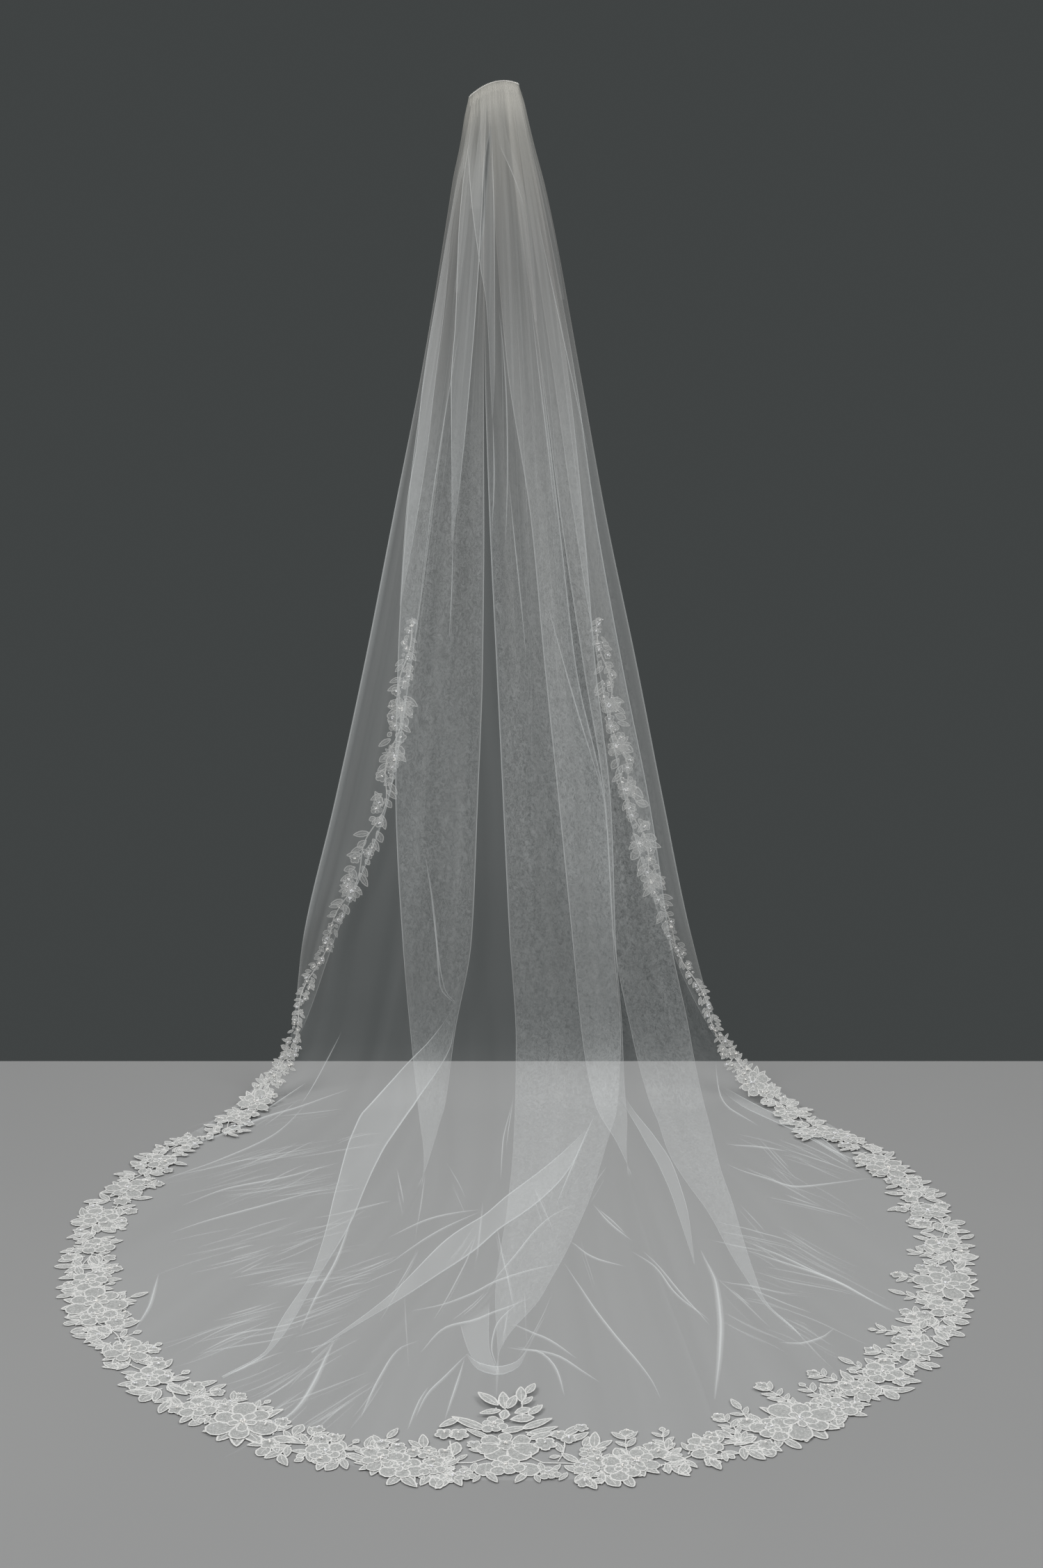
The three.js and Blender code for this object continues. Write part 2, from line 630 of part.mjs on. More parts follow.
addPiece('comb', comb(), combWire);
addPiece('comb_binding', binding(), headingCloth);
addPiece('gathered_heading', gatheredHeading(), headingCloth);
addPiece('tulle_veil', tulleVeil(), tulleCloth);
for (const piece of SIDE_LACE) {
  addPiece(`lace_left_${piece.name}`, sideLace('left_edge', 1, piece), laceCloth);
  addPiece(`lace_right_${piece.name}`, sideLace('right_edge', -1, piece), laceCloth);
}
addPiece('lace_left_turn', turnLace(-1), laceCloth);
addPiece('lace_right_turn', turnLace(1), laceCloth);
addPiece('lace_left_corner', cornerLace(-1), laceCloth);
addPiece('lace_right_corner', cornerLace(1), laceCloth);
for (const piece of TRAIN_LACE) {
  addPiece(piece.name, trainLace(piece), laceCloth);
}
addPiece('lace_medallion', medallion(), laceCloth);

export default veil;
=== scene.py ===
"""A cathedral-length bridal veil hung from its comb, with its lace-edged train on the floor."""

import itertools
import json
import math

import bpy
import numpy as np
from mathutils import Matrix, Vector

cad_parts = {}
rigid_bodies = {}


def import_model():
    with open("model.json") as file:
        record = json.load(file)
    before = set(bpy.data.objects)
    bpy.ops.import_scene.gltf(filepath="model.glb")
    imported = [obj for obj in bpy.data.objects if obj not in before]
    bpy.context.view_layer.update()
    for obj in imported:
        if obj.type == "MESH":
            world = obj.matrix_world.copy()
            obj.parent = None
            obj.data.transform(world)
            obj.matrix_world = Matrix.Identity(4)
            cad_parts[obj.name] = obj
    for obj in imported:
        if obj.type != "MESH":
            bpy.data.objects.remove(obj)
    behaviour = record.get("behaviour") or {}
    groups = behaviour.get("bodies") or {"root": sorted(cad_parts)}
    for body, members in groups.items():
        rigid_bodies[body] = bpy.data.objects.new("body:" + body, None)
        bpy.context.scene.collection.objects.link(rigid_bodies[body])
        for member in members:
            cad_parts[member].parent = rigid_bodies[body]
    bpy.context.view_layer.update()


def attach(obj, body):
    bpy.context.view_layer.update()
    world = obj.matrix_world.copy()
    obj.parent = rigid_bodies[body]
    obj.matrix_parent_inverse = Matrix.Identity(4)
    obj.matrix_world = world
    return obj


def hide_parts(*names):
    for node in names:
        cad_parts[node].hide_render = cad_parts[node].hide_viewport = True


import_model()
MM = 0.001

# The bent plane that the veil hangs and lies on, in metres: x across, s down from the comb and
# then out over the floor, h towards the viewer and then up
COMB_HEIGHT = 1.75
BEND_RADIUS = 0.1
LEAN = 0.03
HANG = COMB_HEIGHT - BEND_RADIUS
BEND = BEND_RADIUS * math.pi / 2
TULLE = 1.2 * MM
LACE = 1.2 * MM
CLEAR = 0.35 * MM
CROWN_DEPTH = 0.16  # how far down the comb's arch still shows in the cloth
SHOULDER_TOP, SHOULDER_LOW = 12 * MM, 38 * MM  # width of the soft slope beside a fold
RIPPLE = 1.6 * MM  # of the cloth on the floor

# The comb and its binding
COMB_WIDTH = 82 * MM
COMB_BAR = 7 * MM
COMB_TOOTH = 36 * MM
COMB_BACK = 1.8 * MM
COMB_RAILS = (3.5 * MM, 7 * MM)  # below the arched edge
WIRE = 0.8 * MM
TEETH = 15
ARC_TOP = 7 * MM
ARC_CENTRE = 16 * MM
ARC_FALL = 7.8
BINDING_HIGH = 4.6 * MM
BINDING_DEEP = 11 * MM
BINDING_MIDDLE = -2.45 * MM
BINDING_WRAPS = 32
HEADING_HIGH = 15 * MM
HEADING_DEEP = 6.5 * MM
HEADING_FLAT = 0.6  # span of the cloth coordinate across the heading
HEADING_PLEATS = 30

# Outline of the train, an oval on the bent plane
TRAIN = dict(x=0.04, s=2.29, across=0.71, along=0.73, open=125)
HEM = 27 * MM  # from the tips of the lace in to the edge of the tulle

# Fold lines of the cloth in millimetres, as in the frame: x at each of HANG_ROWS, then [x, s] on
# the floor, the angle on the train's outline, and the side to which the fold bulges
HANG_ROWS = [0, 200, 450, 700, 950, 1200, 1450, 1650]
FOLDS = {
    "left_edge": dict(hang=[-24, -49, -73, -106, -143, -187, -284, -359], floor=[[-446, 1775]],
                      end=-125, side=0, tuck=12),
    "left_fold": dict(hang=[-44, -76, -120, -172, -224, -281, -342, -372], floor=[[-458, 1769]],
                      end=-125, side=-1, crisp=0.55),
    "panel_out": dict(hang=[-12, -16, -18, -18, -21, -31, -43, -77],
                      floor=[[-94, 1810], [-118, 2070]], end=-37, side=1),
    "panel_in": dict(hang=[-34, -70, -114, -148, -166, -173, -165, -153],
                     floor=[[-137, 1810], [-118, 2070]], end=-36, side=-1),
    "centre_out": dict(hang=[28, 53, 78, 108, 138, 190, 207, 223],
                       floor=[[214, 1810], [184, 2000], [150, 2200], [78, 2500], [12, 2694]],
                       end=-3, side=1),
    "centre_in": dict(hang=[-23, -19, -16, -9, 2, 13, 24, 35],
                      floor=[[33, 1810], [30, 2000], [22, 2200], [6, 2500], [12, 2694]],
                      end=-2, side=-1),
    "band_out": dict(hang=[37, 79, 121, 149, 171, 200, 211, 227],
                     floor=[[231, 1810], [222, 2034]], end=23, side=1),
    "band_in": dict(hang=[-12, 0, 21, 60, 84, 110, 135, 155],
                    floor=[[182, 1810], [222, 2034]], end=24, side=-1),
    "right_out": dict(hang=[40, 84, 132, 170, 217, 268, 308, 350],
                      floor=[[372, 1810], [375, 2000], [386, 2200], [401, 2500], [443, 2622]],
                      end=44, side=1),
    "right_in": dict(hang=[17, 40, 78, 111, 150, 190, 208, 246],
                     floor=[[280, 1810], [297, 2000], [341, 2200], [395, 2500], [443, 2622]],
                     end=45, side=-1),
    "right_fold": dict(hang=[43, 93, 141, 188, 242, 293, 347, 411], floor=[[520, 1759]],
                       end=125, side=1, crisp=0.4),
    "right_edge": dict(hang=[28, 57, 96, 133, 175, 226, 302, 398], floor=[[508, 1765]],
                       end=125, side=0, tuck=12),
}

# Layers between each two folds. rank: order from the wall outwards. pleat: whose tip ends it.
LAYERS = [dict(start=start, stop=stop, rank=rank, columns=columns, pleat=pleat)
          for start, stop, (rank, columns, pleat) in zip(FOLDS, list(FOLDS)[1:], (
              (-1, 18, "left_fold"), (0, 56, "panel_out"), (1, 26, "panel_out"),
              (8, 52, "centre_out"), (7, 28, "centre_out"), (6, 30, "centre_out"),
              (5, 18, "band_out"), (4, 30, "band_out"), (3, 20, "right_out"),
              (2, 44, "right_out"), (-1, 16, "right_fold")))]

# Room between the layers, and behind the front of the veil, along s
STACK = dict(
    s=[0, 200, 500, 950, 1300, 1550, 1640, 1850, 3100],
    pitch=[1.9, 4, 7, 9, 9, 6, 4, 2.6, 2.6],
    hollow=[2.4, 9, 20, 32, 32, 10, 0, 0, 0],
)

# The camera of the photograph and its frame, in pixels
PHOTO_WIDE = 1500
PHOTO_HIGH = 2256
CAMERA_AT = (0.045, -3.956, -0.12)
CAMERA_PITCH = math.radians(15)
LENS = 35.0
SENSOR_HIGH = 23.6

# How far the front of the veil stands off the bent plane along s
FRONT = dict(s=[0, 0.3, 1.0, 1.5, 1.8, 3.3], h=[0.004, 0.02, 0.05, 0.04, 0.004, 0.0])


def smooth(low, high, value):
    """0 below low, 1 above high, and an even slope between."""
    t = np.clip((np.asarray(value, float) - low) / (high - low), 0, 1)
    return t * t * (3 - 2 * t)


def mix(a, b, share):
    return a + (b - a) * share


def curve_through(keys, values):
    """A smooth curve through rows of values, with no overshoot between them."""
    keys = np.array(keys, float)
    values = np.array(values, float)
    steps = np.diff(values) / np.diff(keys)
    slope = np.zeros(len(keys))
    for i in range(1, len(keys) - 1):
        before, after = steps[i - 1], steps[i]
        slope[i] = 0 if before * after <= 0 else 2 * before * after / (before + after)
    slope[0], slope[-1] = steps[0], steps[-1]

    def at(key):
        k = np.clip(key, keys[0], keys[-1])
        i = np.clip(np.searchsorted(keys, k, side="right") - 1, 0, len(keys) - 2)
        span = keys[i + 1] - keys[i]
        t = (k - keys[i]) / span
        a = (1 + 2 * t) * (1 - t) ** 2 * values[i] + t * (1 - t) ** 2 * span * slope[i]
        return a + t * t * (3 - 2 * t) * values[i + 1] + t * t * (t - 1) * span * slope[i + 1]

    return at


def comb_rise(x):
    """Height of the comb's arched edge over the origin."""
    return ARC_TOP - ARC_FALL * (x - ARC_CENTRE) ** 2


def on_sheet(x, s, h):
    """Places on the bent plane, as an array of points in space."""
    x, s, h = np.broadcast_arrays(np.asarray(x, float), s, h)
    crown = comb_rise(x) * (1 - smooth(HEADING_HIGH + 2 * MM, CROWN_DEPTH, s))
    turn = np.clip((s - HANG) / BEND_RADIUS, 0, math.pi / 2)
    reach = BEND_RADIUS - h
    front = -LEAN - BEND_RADIUS
    y = front + reach * np.cos(turn)
    z = -HANG - reach * np.sin(turn)
    hanging = s <= HANG
    y = np.where(hanging, -LEAN * s / HANG - h, y)
    z = np.where(hanging, crown - s, z)
    lying = s > HANG + BEND
    y = np.where(lying, front - (s - HANG - BEND), y)
    z = np.where(lying, h - COMB_HEIGHT, z)
    return np.stack([x, y, z], axis=-1)


def outline(angle, inset=0.0):
    """Point of the train's outline, inset towards its middle: x and s."""
    turn = np.radians(angle)
    return (TRAIN["x"] + (TRAIN["across"] - inset) * np.sin(turn),
            TRAIN["s"] + (TRAIN["along"] - inset) * np.cos(turn))


def radius_at(x, s):
    """Distance from the train's middle, 1 on the outline."""
    return np.hypot((x - TRAIN["x"]) / TRAIN["across"], (s - TRAIN["s"]) / TRAIN["along"])


def angle_at(x, s):
    """Angle round the train's middle from its front, in degrees to either side."""
    return np.abs(np.degrees(np.arctan2(x - TRAIN["x"], s - TRAIN["s"])))


def fold_routes():
    routes = {}
    for name, fold in FOLDS.items():
        points = [(s * MM, x * MM) for s, x in zip(HANG_ROWS, fold["hang"])]
        points += [(s * MM, x * MM) for x, s in fold["floor"]]
        end = outline(fold["end"], HEM + fold.get("tuck", 0) * MM)
        points.append((float(end[1]), float(end[0])))
        open_end = abs(fold["end"]) == TRAIN["open"]
        tip = points[-1][0] + 0.03 if open_end else fold["floor"][-1][1] * MM
        routes[name] = dict(x=curve_through(*zip(*points)), tip=tip, end=points[-1][0],
                            side=fold["side"], angle=fold["end"])
    return routes


ROUTES = fold_routes()
pitch_at, hollow_at = (curve_through([s * MM for s in STACK["s"]], [h * MM for h in STACK[name]])
                       for name in ("pitch", "hollow"))


def pleat_left(name, s):
    """How much of a pleat is left at s: 1 above its tip, 0 well past it."""
    tip = ROUTES[name]["tip"]
    return 1 - smooth(tip - 20 * MM, tip + 50 * MM, s)


def rest_height(s):
    """Height of the rearmost cloth: the side lace lies behind it on the hang."""
    return TULLE / 2 + (LACE + CLEAR) * (1 - smooth(HANG, HANG + BEND, s))


def cloth_height(x, s, rank):
    """Height of a layer: it rests on every layer of lower rank, with soft shoulders beside them."""
    shoulder = mix(SHOULDER_TOP, SHOULDER_LOW, smooth(0, 0.9, s))
    covers = 0
    for other in LAYERS:
        if other["rank"] >= rank:
            continue
        a = ROUTES[other["start"]]["x"](s)
        b = ROUTES[other["stop"]]["x"](s)
        low, high = np.minimum(a, b), np.maximum(a, b)
        inside = smooth(0, 1, (x - low + shoulder) / shoulder) \
            * (1 - smooth(0, 1, (x - high) / shoulder))
        covers = covers + inside * pleat_left(other["pleat"], s)
    flat = rest_height(s)
    return flat if rank < 0 else flat + hollow_at(s) + pitch_at(s) * covers


TOP = 99  # a rank above every layer
FAN_CENTRE = (0.05, 1.2)  # where the waves of the train fan out from: x and s


def ripple(x, s):
    """Soft undulation of the cloth on the floor, dying away towards its lace edge."""
    room = smooth(HANG + 0.1, HANG + 0.3, s) * (1 - smooth(0.7, 0.86, radius_at(x, s)))
    from_middle = x - FAN_CENTRE[0], s - FAN_CENTRE[1]
    fan, far = np.arctan2(*from_middle), np.hypot(*from_middle)
    waves = np.sin(23 * fan + 3 * np.sin(4 * far + 1.3)) + 0.6 * np.sin(41 * fan + 5 * far)
    cross = np.sin(19 * x + 31 * s + 2.5 * np.sin(9 * x - 4 * s))
    return RIPPLE * room * (2.2 + waves + 0.6 * cross)


def under_pixel(u, v):
    """The x and s of the cloth that the photograph shows at a pixel."""
    s = np.linspace(0, 3.3, 1651)
    offset = on_sheet(0, s, np.interp(s, FRONT["s"], FRONT["h"])) - np.array(CAMERA_AT)
    depth = offset[:, 1] * math.cos(CAMERA_PITCH) - offset[:, 2] * math.sin(CAMERA_PITCH)
    up = offset[:, 1] * math.sin(CAMERA_PITCH) + offset[:, 2] * math.cos(CAMERA_PITCH)
    focal = LENS / SENSOR_HIGH * PHOTO_HIGH
    rows = PHOTO_HIGH / 2 - focal * up / depth
    where = np.interp(v, rows, s)
    x = (u - PHOTO_WIDE / 2) / focal * np.interp(where, s, depth) + CAMERA_AT[0]
    return x, where


class Shell:
    """Points, faces, cloth coordinates and point values that become one mesh."""

    def __init__(self, *values):
        self.points, self.faces, self.flat, self.count = [], [], [], 0
        self.values = {name: [] for name in values}

    def add(self, points, faces, flat=None, **values):
        points = np.asarray(points, float).reshape(-1, 3)
        self.points.append(points)
        self.faces += [tuple(int(i) + self.count for i in face) for face in faces]
        size = len(points)
        self.flat.append(np.zeros((size, 2)) if flat is None else np.reshape(flat, (size, 2)))
        for name, store in self.values.items():
            store.append(np.broadcast_to(np.ravel(values.get(name, 0.0)), (size,)))
        self.count += size

    def grid(self, points, flat=None, round_trip=False, capped=False, **values):
        """Rows and columns of points. round_trip joins the last column to the first, and
        capped closes the first and the last row."""
        rows, columns = points.shape[:2]
        index = np.arange(rows * columns).reshape(rows, columns)
        if round_trip:
            index = np.concatenate([index, index[:, :1]], axis=1)
        faces = np.stack([index[:-1, :-1], index[1:, :-1], index[1:, 1:], index[:-1, 1:]], axis=-1)
        start = self.count
        self.add(points, faces.reshape(-1, 4), flat, **values)
        if capped:
            self.faces += [tuple(range(start, start + columns)),
                           tuple(range(self.count - 1, self.count - columns - 1, -1))]

    def mesh(self, name):
        made = bpy.data.meshes.new(name)
        points = np.concatenate(self.points)
        made.from_pydata(points.tolist(), [], self.faces)
        flat = np.concatenate(self.flat)
        layer = made.uv_layers.new(name="cloth")
        corners = np.zeros(len(made.loops), int)
        made.loops.foreach_get("vertex_index", corners)
        layer.data.foreach_set("uv", flat[corners].ravel())
        for value, store in self.values.items():
            attribute = made.attributes.new(value, "FLOAT", "POINT")
            attribute.data.foreach_set("value", np.concatenate(store).astype(np.float32))
        made.polygons.foreach_set("use_smooth", [True] * len(made.polygons))
        made.update()
        return made


def placed(made):
    bpy.context.scene.collection.objects.link(made)
    return made


def piece(shell, name, material, slot, *nodes):
    """One finished piece on the veil's body. It stands for the CAD nodes that it names."""
    made = placed(bpy.data.objects.new(name, shell.mesh(name)))
    made.data.materials.append(material)
    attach(made, "root")
    if nodes:
        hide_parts(*nodes)
    return made


# Shader maths
class Value:
    """A socket that takes part in sums, which add their Math nodes."""

    def __init__(self, shader, socket):
        self.shader, self.socket = shader, socket

    def maths(self, operation, *terms):
        return self.shader.node("Math", {"operation": operation}, terms)

    def __add__(self, other):
        return self.maths("ADD", self, other)

    def __sub__(self, other):
        return self.maths("SUBTRACT", self, other)

    def __rsub__(self, other):
        return self.maths("SUBTRACT", other, self)

    def __mul__(self, other):
        return self.maths("MULTIPLY", self, other)

    def __rpow__(self, other):
        return self.maths("POWER", other, self)

    def __abs__(self):
        return self.maths("ABSOLUTE", self)

    __radd__ = __add__
    __rmul__ = __mul__

    def clamp(self, low=0.0, high=1.0):
        return self.shader.node("Clamp", {}, [self, low, high])

    def ramp(self, low, high, out_low=0.0, out_high=1.0):
        return self.shader.node("MapRange", {"interpolation_type": "SMOOTHSTEP"},
                                [self, low, high, out_low, out_high])


class Nodes:
    """The nodes of a material or of the world."""

    def __init__(self, owner):
        owner.use_nodes = True
        self.tree = owner.node_tree

    def node(self, kind, settings, inputs=(), output=0):
        """Adds a node: its settings, then its inputs by place or by name."""
        made = self.tree.nodes.new("ShaderNode" + kind)
        for setting, value in settings.items():
            setattr(made, setting, value)
        pairs = inputs.items() if isinstance(inputs, dict) else enumerate(inputs)
        for key, value in pairs:
            self.link(value, made.inputs[key])
        return Value(self, made.outputs[output])

    def link(self, value, socket):
        if isinstance(value, Value):
            self.tree.links.new(value.socket, socket)
        else:
            socket.default_value = value


class Shader(Nodes):
    """One material's nodes, on a Principled shader."""

    def __init__(self, name, **fixed):
        self.material = bpy.data.materials.new(name)
        super().__init__(self.material)
        self.surface = self.tree.nodes["Principled BSDF"]
        self.drive(fixed)

    def drive(self, inputs):
        """Sets or links the Principled shader's own inputs."""
        for socket, value in inputs.items():
            self.link(value, self.surface.inputs[socket.replace("_", " ")])

    def attribute(self, name):
        return self.node("Attribute", {"attribute_name": name}, output=2)

    def coordinates(self, scale=(1, 1, 1)):
        """Across and down the cloth in metres, times a scale."""
        return self.node("Mapping", {}, {"Vector": self.node("UVMap", {"uv_map": "cloth"}),
                                         "Scale": scale})

    def place(self, *scale):
        """The place on the piece in metres, times a scale."""
        return self.node("Mapping", {}, {"Vector": self.node("TexCoord", {}, output=3),
                                         "Scale": scale or (1, 1, 1)})

    def net(self, where, scale):
        return self.node("TexVoronoi", {"feature": "DISTANCE_TO_EDGE"},
                         {"Vector": where, "Scale": scale})

    def noise(self, where, scale=1.0, detail=2.0, rough=0.5, warp=0.0):
        return self.node("TexNoise", {}, {"Vector": where, "Scale": scale, "Detail": detail,
                                          "Roughness": rough, "Distortion": warp})

    def blend(self, share, a, b):
        return self.node("Mix", {"data_type": "RGBA"}, {0: share, 6: a, 7: b}, output=2)

    def finish(self, bump=None, strength=0.3, distance=0.0005, **driven):
        self.drive(driven)
        if bump is not None:
            self.drive({"Normal": self.node("Bump", {}, {
                "Strength": strength, "Distance": distance, "Height": bump})})
        return self.material


COOL_WHITE = (0.82, 0.85, 0.85, 1)
# The next two colours are painted shade: darkened whites with an ivory tint, standing in for the
# cloth's shadow in its gathers and just below the comb
GATHERED_SHADE_WHITE = (0.36, 0.357, 0.345, 1)
COMB_SHADE_IVORY = (0.46, 0.45, 0.41, 1)
THREAD_WHITE = (0.82, 0.82, 0.8, 1)
NET_WHITE = (0.46, 0.47, 0.46, 1)
HEADING_DARK, HEADING_LIGHT = (0.42, 0.41, 0.38, 1), (0.62, 0.61, 0.57, 1)
WIRE_DARK, WIRE_LIGHT = (0.62, 0.61, 0.58, 1), (0.8, 0.79, 0.77, 1)
BEAD_COOL, BEAD_WARM = (0.93, 0.94, 0.97, 1), (0.99, 0.97, 0.93, 1)
FLOOR_DARK, FLOOR_LIGHT = (0.28, 0.283, 0.283, 1), (0.305, 0.307, 0.305, 1)
BACKDROP = (0.052, 0.057, 0.057, 1)
SKY = (0.5, 0.5, 0.5, 1)
SKY_STRENGTH = 0.5
ONE_LAYER = 0.085  # share of light that one layer of tulle stops
EDGE_LAYERS = 12  # layers that a fold's edge looks as dense as


def tulle_material():
    shader = Shader("tulle", Roughness=0.62, Specular_IOR_Level=0.2)
    fullness = shader.attribute("fullness")
    edge = shader.attribute("edge")
    gathered = fullness.ramp(1.1, 1.9)
    down = shader.node("SeparateXYZ", {}, [shader.coordinates()], output=1)
    open_cloth = shader.attribute("over") * down.ramp(0.25, 0.9) * (1 - gathered * 0.85)
    streaks = shader.noise(shader.coordinates((24, 0.5, 1)), detail=1.5, rough=0.6)
    moire = shader.noise(shader.coordinates((95, 60, 1)), detail=3, rough=0.6, warp=1.6)
    threads = 1 - shader.net(shader.coordinates((620, 620, 1)), 1.0).ramp(0.02, 0.2)
    curls = shader.noise(shader.coordinates((74, 46, 1)), detail=2, rough=0.7, warp=2.6)
    thin = 1 - abs(curls - 0.5).ramp(0.0, 0.07)
    mottle = (moire - 0.5) * 4 - thin * 1.6 + 0.42
    weave = 1 + (mottle + (threads - 0.5) * 0.4) * open_cloth
    pulled = (streaks - 0.5) * (1.1 + 1.7 * gathered)
    amount = fullness * (1 + pulled) * weave + edge * EDGE_LAYERS
    clear = (1 - ONE_LAYER) ** amount.clamp(0.1, 30)
    # Painted shade: the cloth's colour darkens, with an ivory tint, where it is gathered and
    # towards the comb
    gather_shade = shader.blend(down.ramp(0.0, 0.3), COMB_SHADE_IVORY, GATHERED_SHADE_WHITE)
    shade_and_ivory = (gathered + (1 - down.ramp(0.05, 0.7)) * 0.62).clamp()
    colour = shader.blend(shade_and_ivory, COOL_WHITE, gather_shade)
    return shader.finish(Alpha=1 - clear, Base_Color=colour)


def lace_material():
    shader = Shader("corded lace", Roughness=0.5, Sheen_Weight=0.3, Sheen_Roughness=0.35)
    cord = shader.attribute("cord")
    body = shader.attribute("body")
    place = shader.place()
    stitch = shader.noise(place, scale=900, detail=2)
    fleck = shader.noise(place, scale=300, detail=2.5, rough=0.75, warp=1.0).ramp(0.38, 0.64)
    satin = shader.node("TexWave", {"wave_type": "BANDS", "bands_direction": "DIAGONAL"},
                        {"Vector": place, "Scale": 330, "Distortion": 3.0, "Detail": 1.0})
    holes = shader.net(place, 900).ramp(0.12, 0.4) * (1 - cord)
    colour = shader.blend((cord * 0.75 + 0.2 * stitch + 0.45 * fleck - 0.25).clamp(),
                          NET_WHITE, THREAD_WHITE)
    alpha = ((0.98 - 0.3 * holes - 0.16 * (1 - fleck) * (1 - cord)) * body
             + cord * (0.1 + 0.2 * body)).clamp()
    return shader.finish(bump=stitch * 0.6 + satin * 0.6, strength=0.5, distance=0.0004,
                         Alpha=alpha, Base_Color=colour)


def heading_material():
    shader = Shader("bound heading", Roughness=0.55, Sheen_Weight=0.4, Sheen_Roughness=0.4)
    grain = shader.noise(shader.coordinates((36, 12, 1)), detail=1)
    spots = shader.noise(shader.place(40, 40, 40), detail=3)
    colour = shader.blend(grain.ramp(0.3, 0.7), HEADING_DARK, HEADING_LIGHT)
    return shader.finish(bump=grain + spots * 0.3, strength=0.25, Base_Color=colour,
                         Roughness=0.5 + grain * 0.2)


def comb_material():
    shader = Shader("comb wire", Metallic=1.0, Roughness=0.3)
    drawn = shader.noise(shader.place(900, 900, 60), detail=3)
    colour = shader.blend(drawn, WIRE_DARK, WIRE_LIGHT)
    return shader.finish(bump=drawn, strength=0.12, Base_Color=colour,
                         Roughness=0.22 + drawn * 0.2)


def bead_material():
    shader = Shader("seed beads", Roughness=0.08, Coat_Weight=0.8, IOR=1.5)
    tone = shader.noise(shader.place(60, 60, 60), detail=1)
    colour = shader.blend(tone.ramp(0.4, 0.6), BEAD_COOL, BEAD_WARM)
    return shader.finish(Base_Color=colour, Roughness=0.05 + tone * 0.1)


# Starts of the random draws
SEEDS = dict(wrinkles=40, lines=19, pleats=7, side_lace=11, train_lace=21, medallion=4, beads=12)

# The tulle
SHEET_TOP = 3 * MM
HANG_COUNT = 92
FLOOR_COUNT = 97
TURN_STEPS = (-0.7, -0.35, 0, 0.35, 0.7)
SPENT_PLEAT = 3 * MM  # how far apart the columns of a fold stay past its tip
RUFFLE, WAVE = 1.3 * MM, 1.2 * MM
COMB_PINCH = 0.93
COMB_PRESSED = 5.5 * MM
COMB_FULLNESS = 2.2  # layers added where the cloth is gathered
MOST_PACKED = 1.55
CUT_EDGE = 0.4


def sheet_rows():
    """Lengths down the hang, then shares of the way from there to the outline."""
    hang = SHEET_TOP + (HANG - SHEET_TOP) * np.linspace(0, 1, HANG_COUNT, endpoint=False) ** 1.3
    return hang, np.linspace(0, 1, FLOOR_COUNT) ** 1.25


def along(route, hang, shares):
    return np.concatenate([hang, mix(HANG, route["end"], shares)])


def sheet_columns():
    """The sheet as columns of x, s and h down its rows, with each column's kind."""
    hang, shares = sheet_rows()
    spread = np.concatenate([0 * hang, shares ** 1.3])
    columns = []
    for number, layer in enumerate(LAYERS):
        ends = []
        for name, way in ((layer["start"], 1), (layer["stop"], -1)):
            route = ROUTES[name]
            s = along(route, hang, shares)
            x = route["x"](s)
            left = pleat_left(name, s)
            near = number - way
            if 0 <= near < len(LAYERS):
                climb = np.abs(cloth_height(x, s, LAYERS[near]["rank"])
                               - cloth_height(x, s, layer["rank"]))
                x = x - route["side"] * np.maximum(climb / 2, MM) * left \
                    + way * SPENT_PLEAT * (1 - left)
            ends.append((x, s, route))
        (x0, s0, first), (x1, s1, second) = ends
        for i in range(layer["columns"] + 1):
            share = i / layer["columns"]
            across, down = bulge(first["angle"], second["angle"], share)
            x = mix(x0, x1, share) + across * spread
            s = mix(s0, s1, share) + down * spread
            columns.append((x, s, cloth_height(x, s, layer["rank"]), 0 * x, number + share,
                            doubled(layer, s)))
        if number < len(LAYERS) - 1:
            columns += turn_columns(layer, LAYERS[number + 1], second, hang, shares, number)
    return columns


def doubled(layer, s):
    """1 where a layer lies on others: all along where turned back, on the hang for the rest."""
    if layer["rank"] in (1, 3, 5, 7):
        return pleat_left(layer["pleat"], s)
    return float(0 < layer["rank"] < 8) * (1 - smooth(1.5, 1.75, s))


def bulge(start, stop, share):
    """How far the round outline stands out from the straight line between two folds' ends."""
    x, s = outline(mix(start, stop, share), HEM)
    a, b = outline(start, HEM), outline(stop, HEM)
    return x - mix(a[0], b[0], share), s - mix(a[1], b[1], share)


def turn_columns(layer, following, route, hang, shares, number):
    """The cloth as it turns back at a fold."""
    s = along(route, hang, shares)
    fold = route["x"](s)
    left = pleat_left(layer["stop"], s)
    low = cloth_height(fold, s, layer["rank"])
    high = cloth_height(fold, s, following["rank"])
    reach = np.maximum(np.abs(high - low) / 2, MM)
    crisp = FOLDS[layer["stop"]].get("crisp", 1)
    made = []
    for q in TURN_STEPS:
        x = fold - route["side"] * reach * (1 - math.cos(math.pi * q / 2)) * left \
            + SPENT_PLEAT * q * (1 - left)
        h = (low + high) / 2 + (high - low) / 2 * math.sin(math.pi * q / 2)
        made.append((x, s, h, crisp * left * max(0, 1 - 2.2 * abs(q)), number + 1, 0 * x))
    return made


def gathers(place, s):
    """Ruffles that spread from the comb, and the long soft waves below them."""
    tight = RUFFLE * np.exp(-s / 0.25) * smooth(0.01, 0.14, s)
    soft = WAVE * smooth(0.05, 0.4, s) * (1 - 0.6 * smooth(HANG - 0.2, HANG + 0.1, s))
    return tight * np.sin(29 * place + 2 * np.sin(7 * place)) \
        + soft * (np.sin(9.1 * place + 2.2 * s) + 0.6 * np.sin(17.3 * place - 1.4 * s))


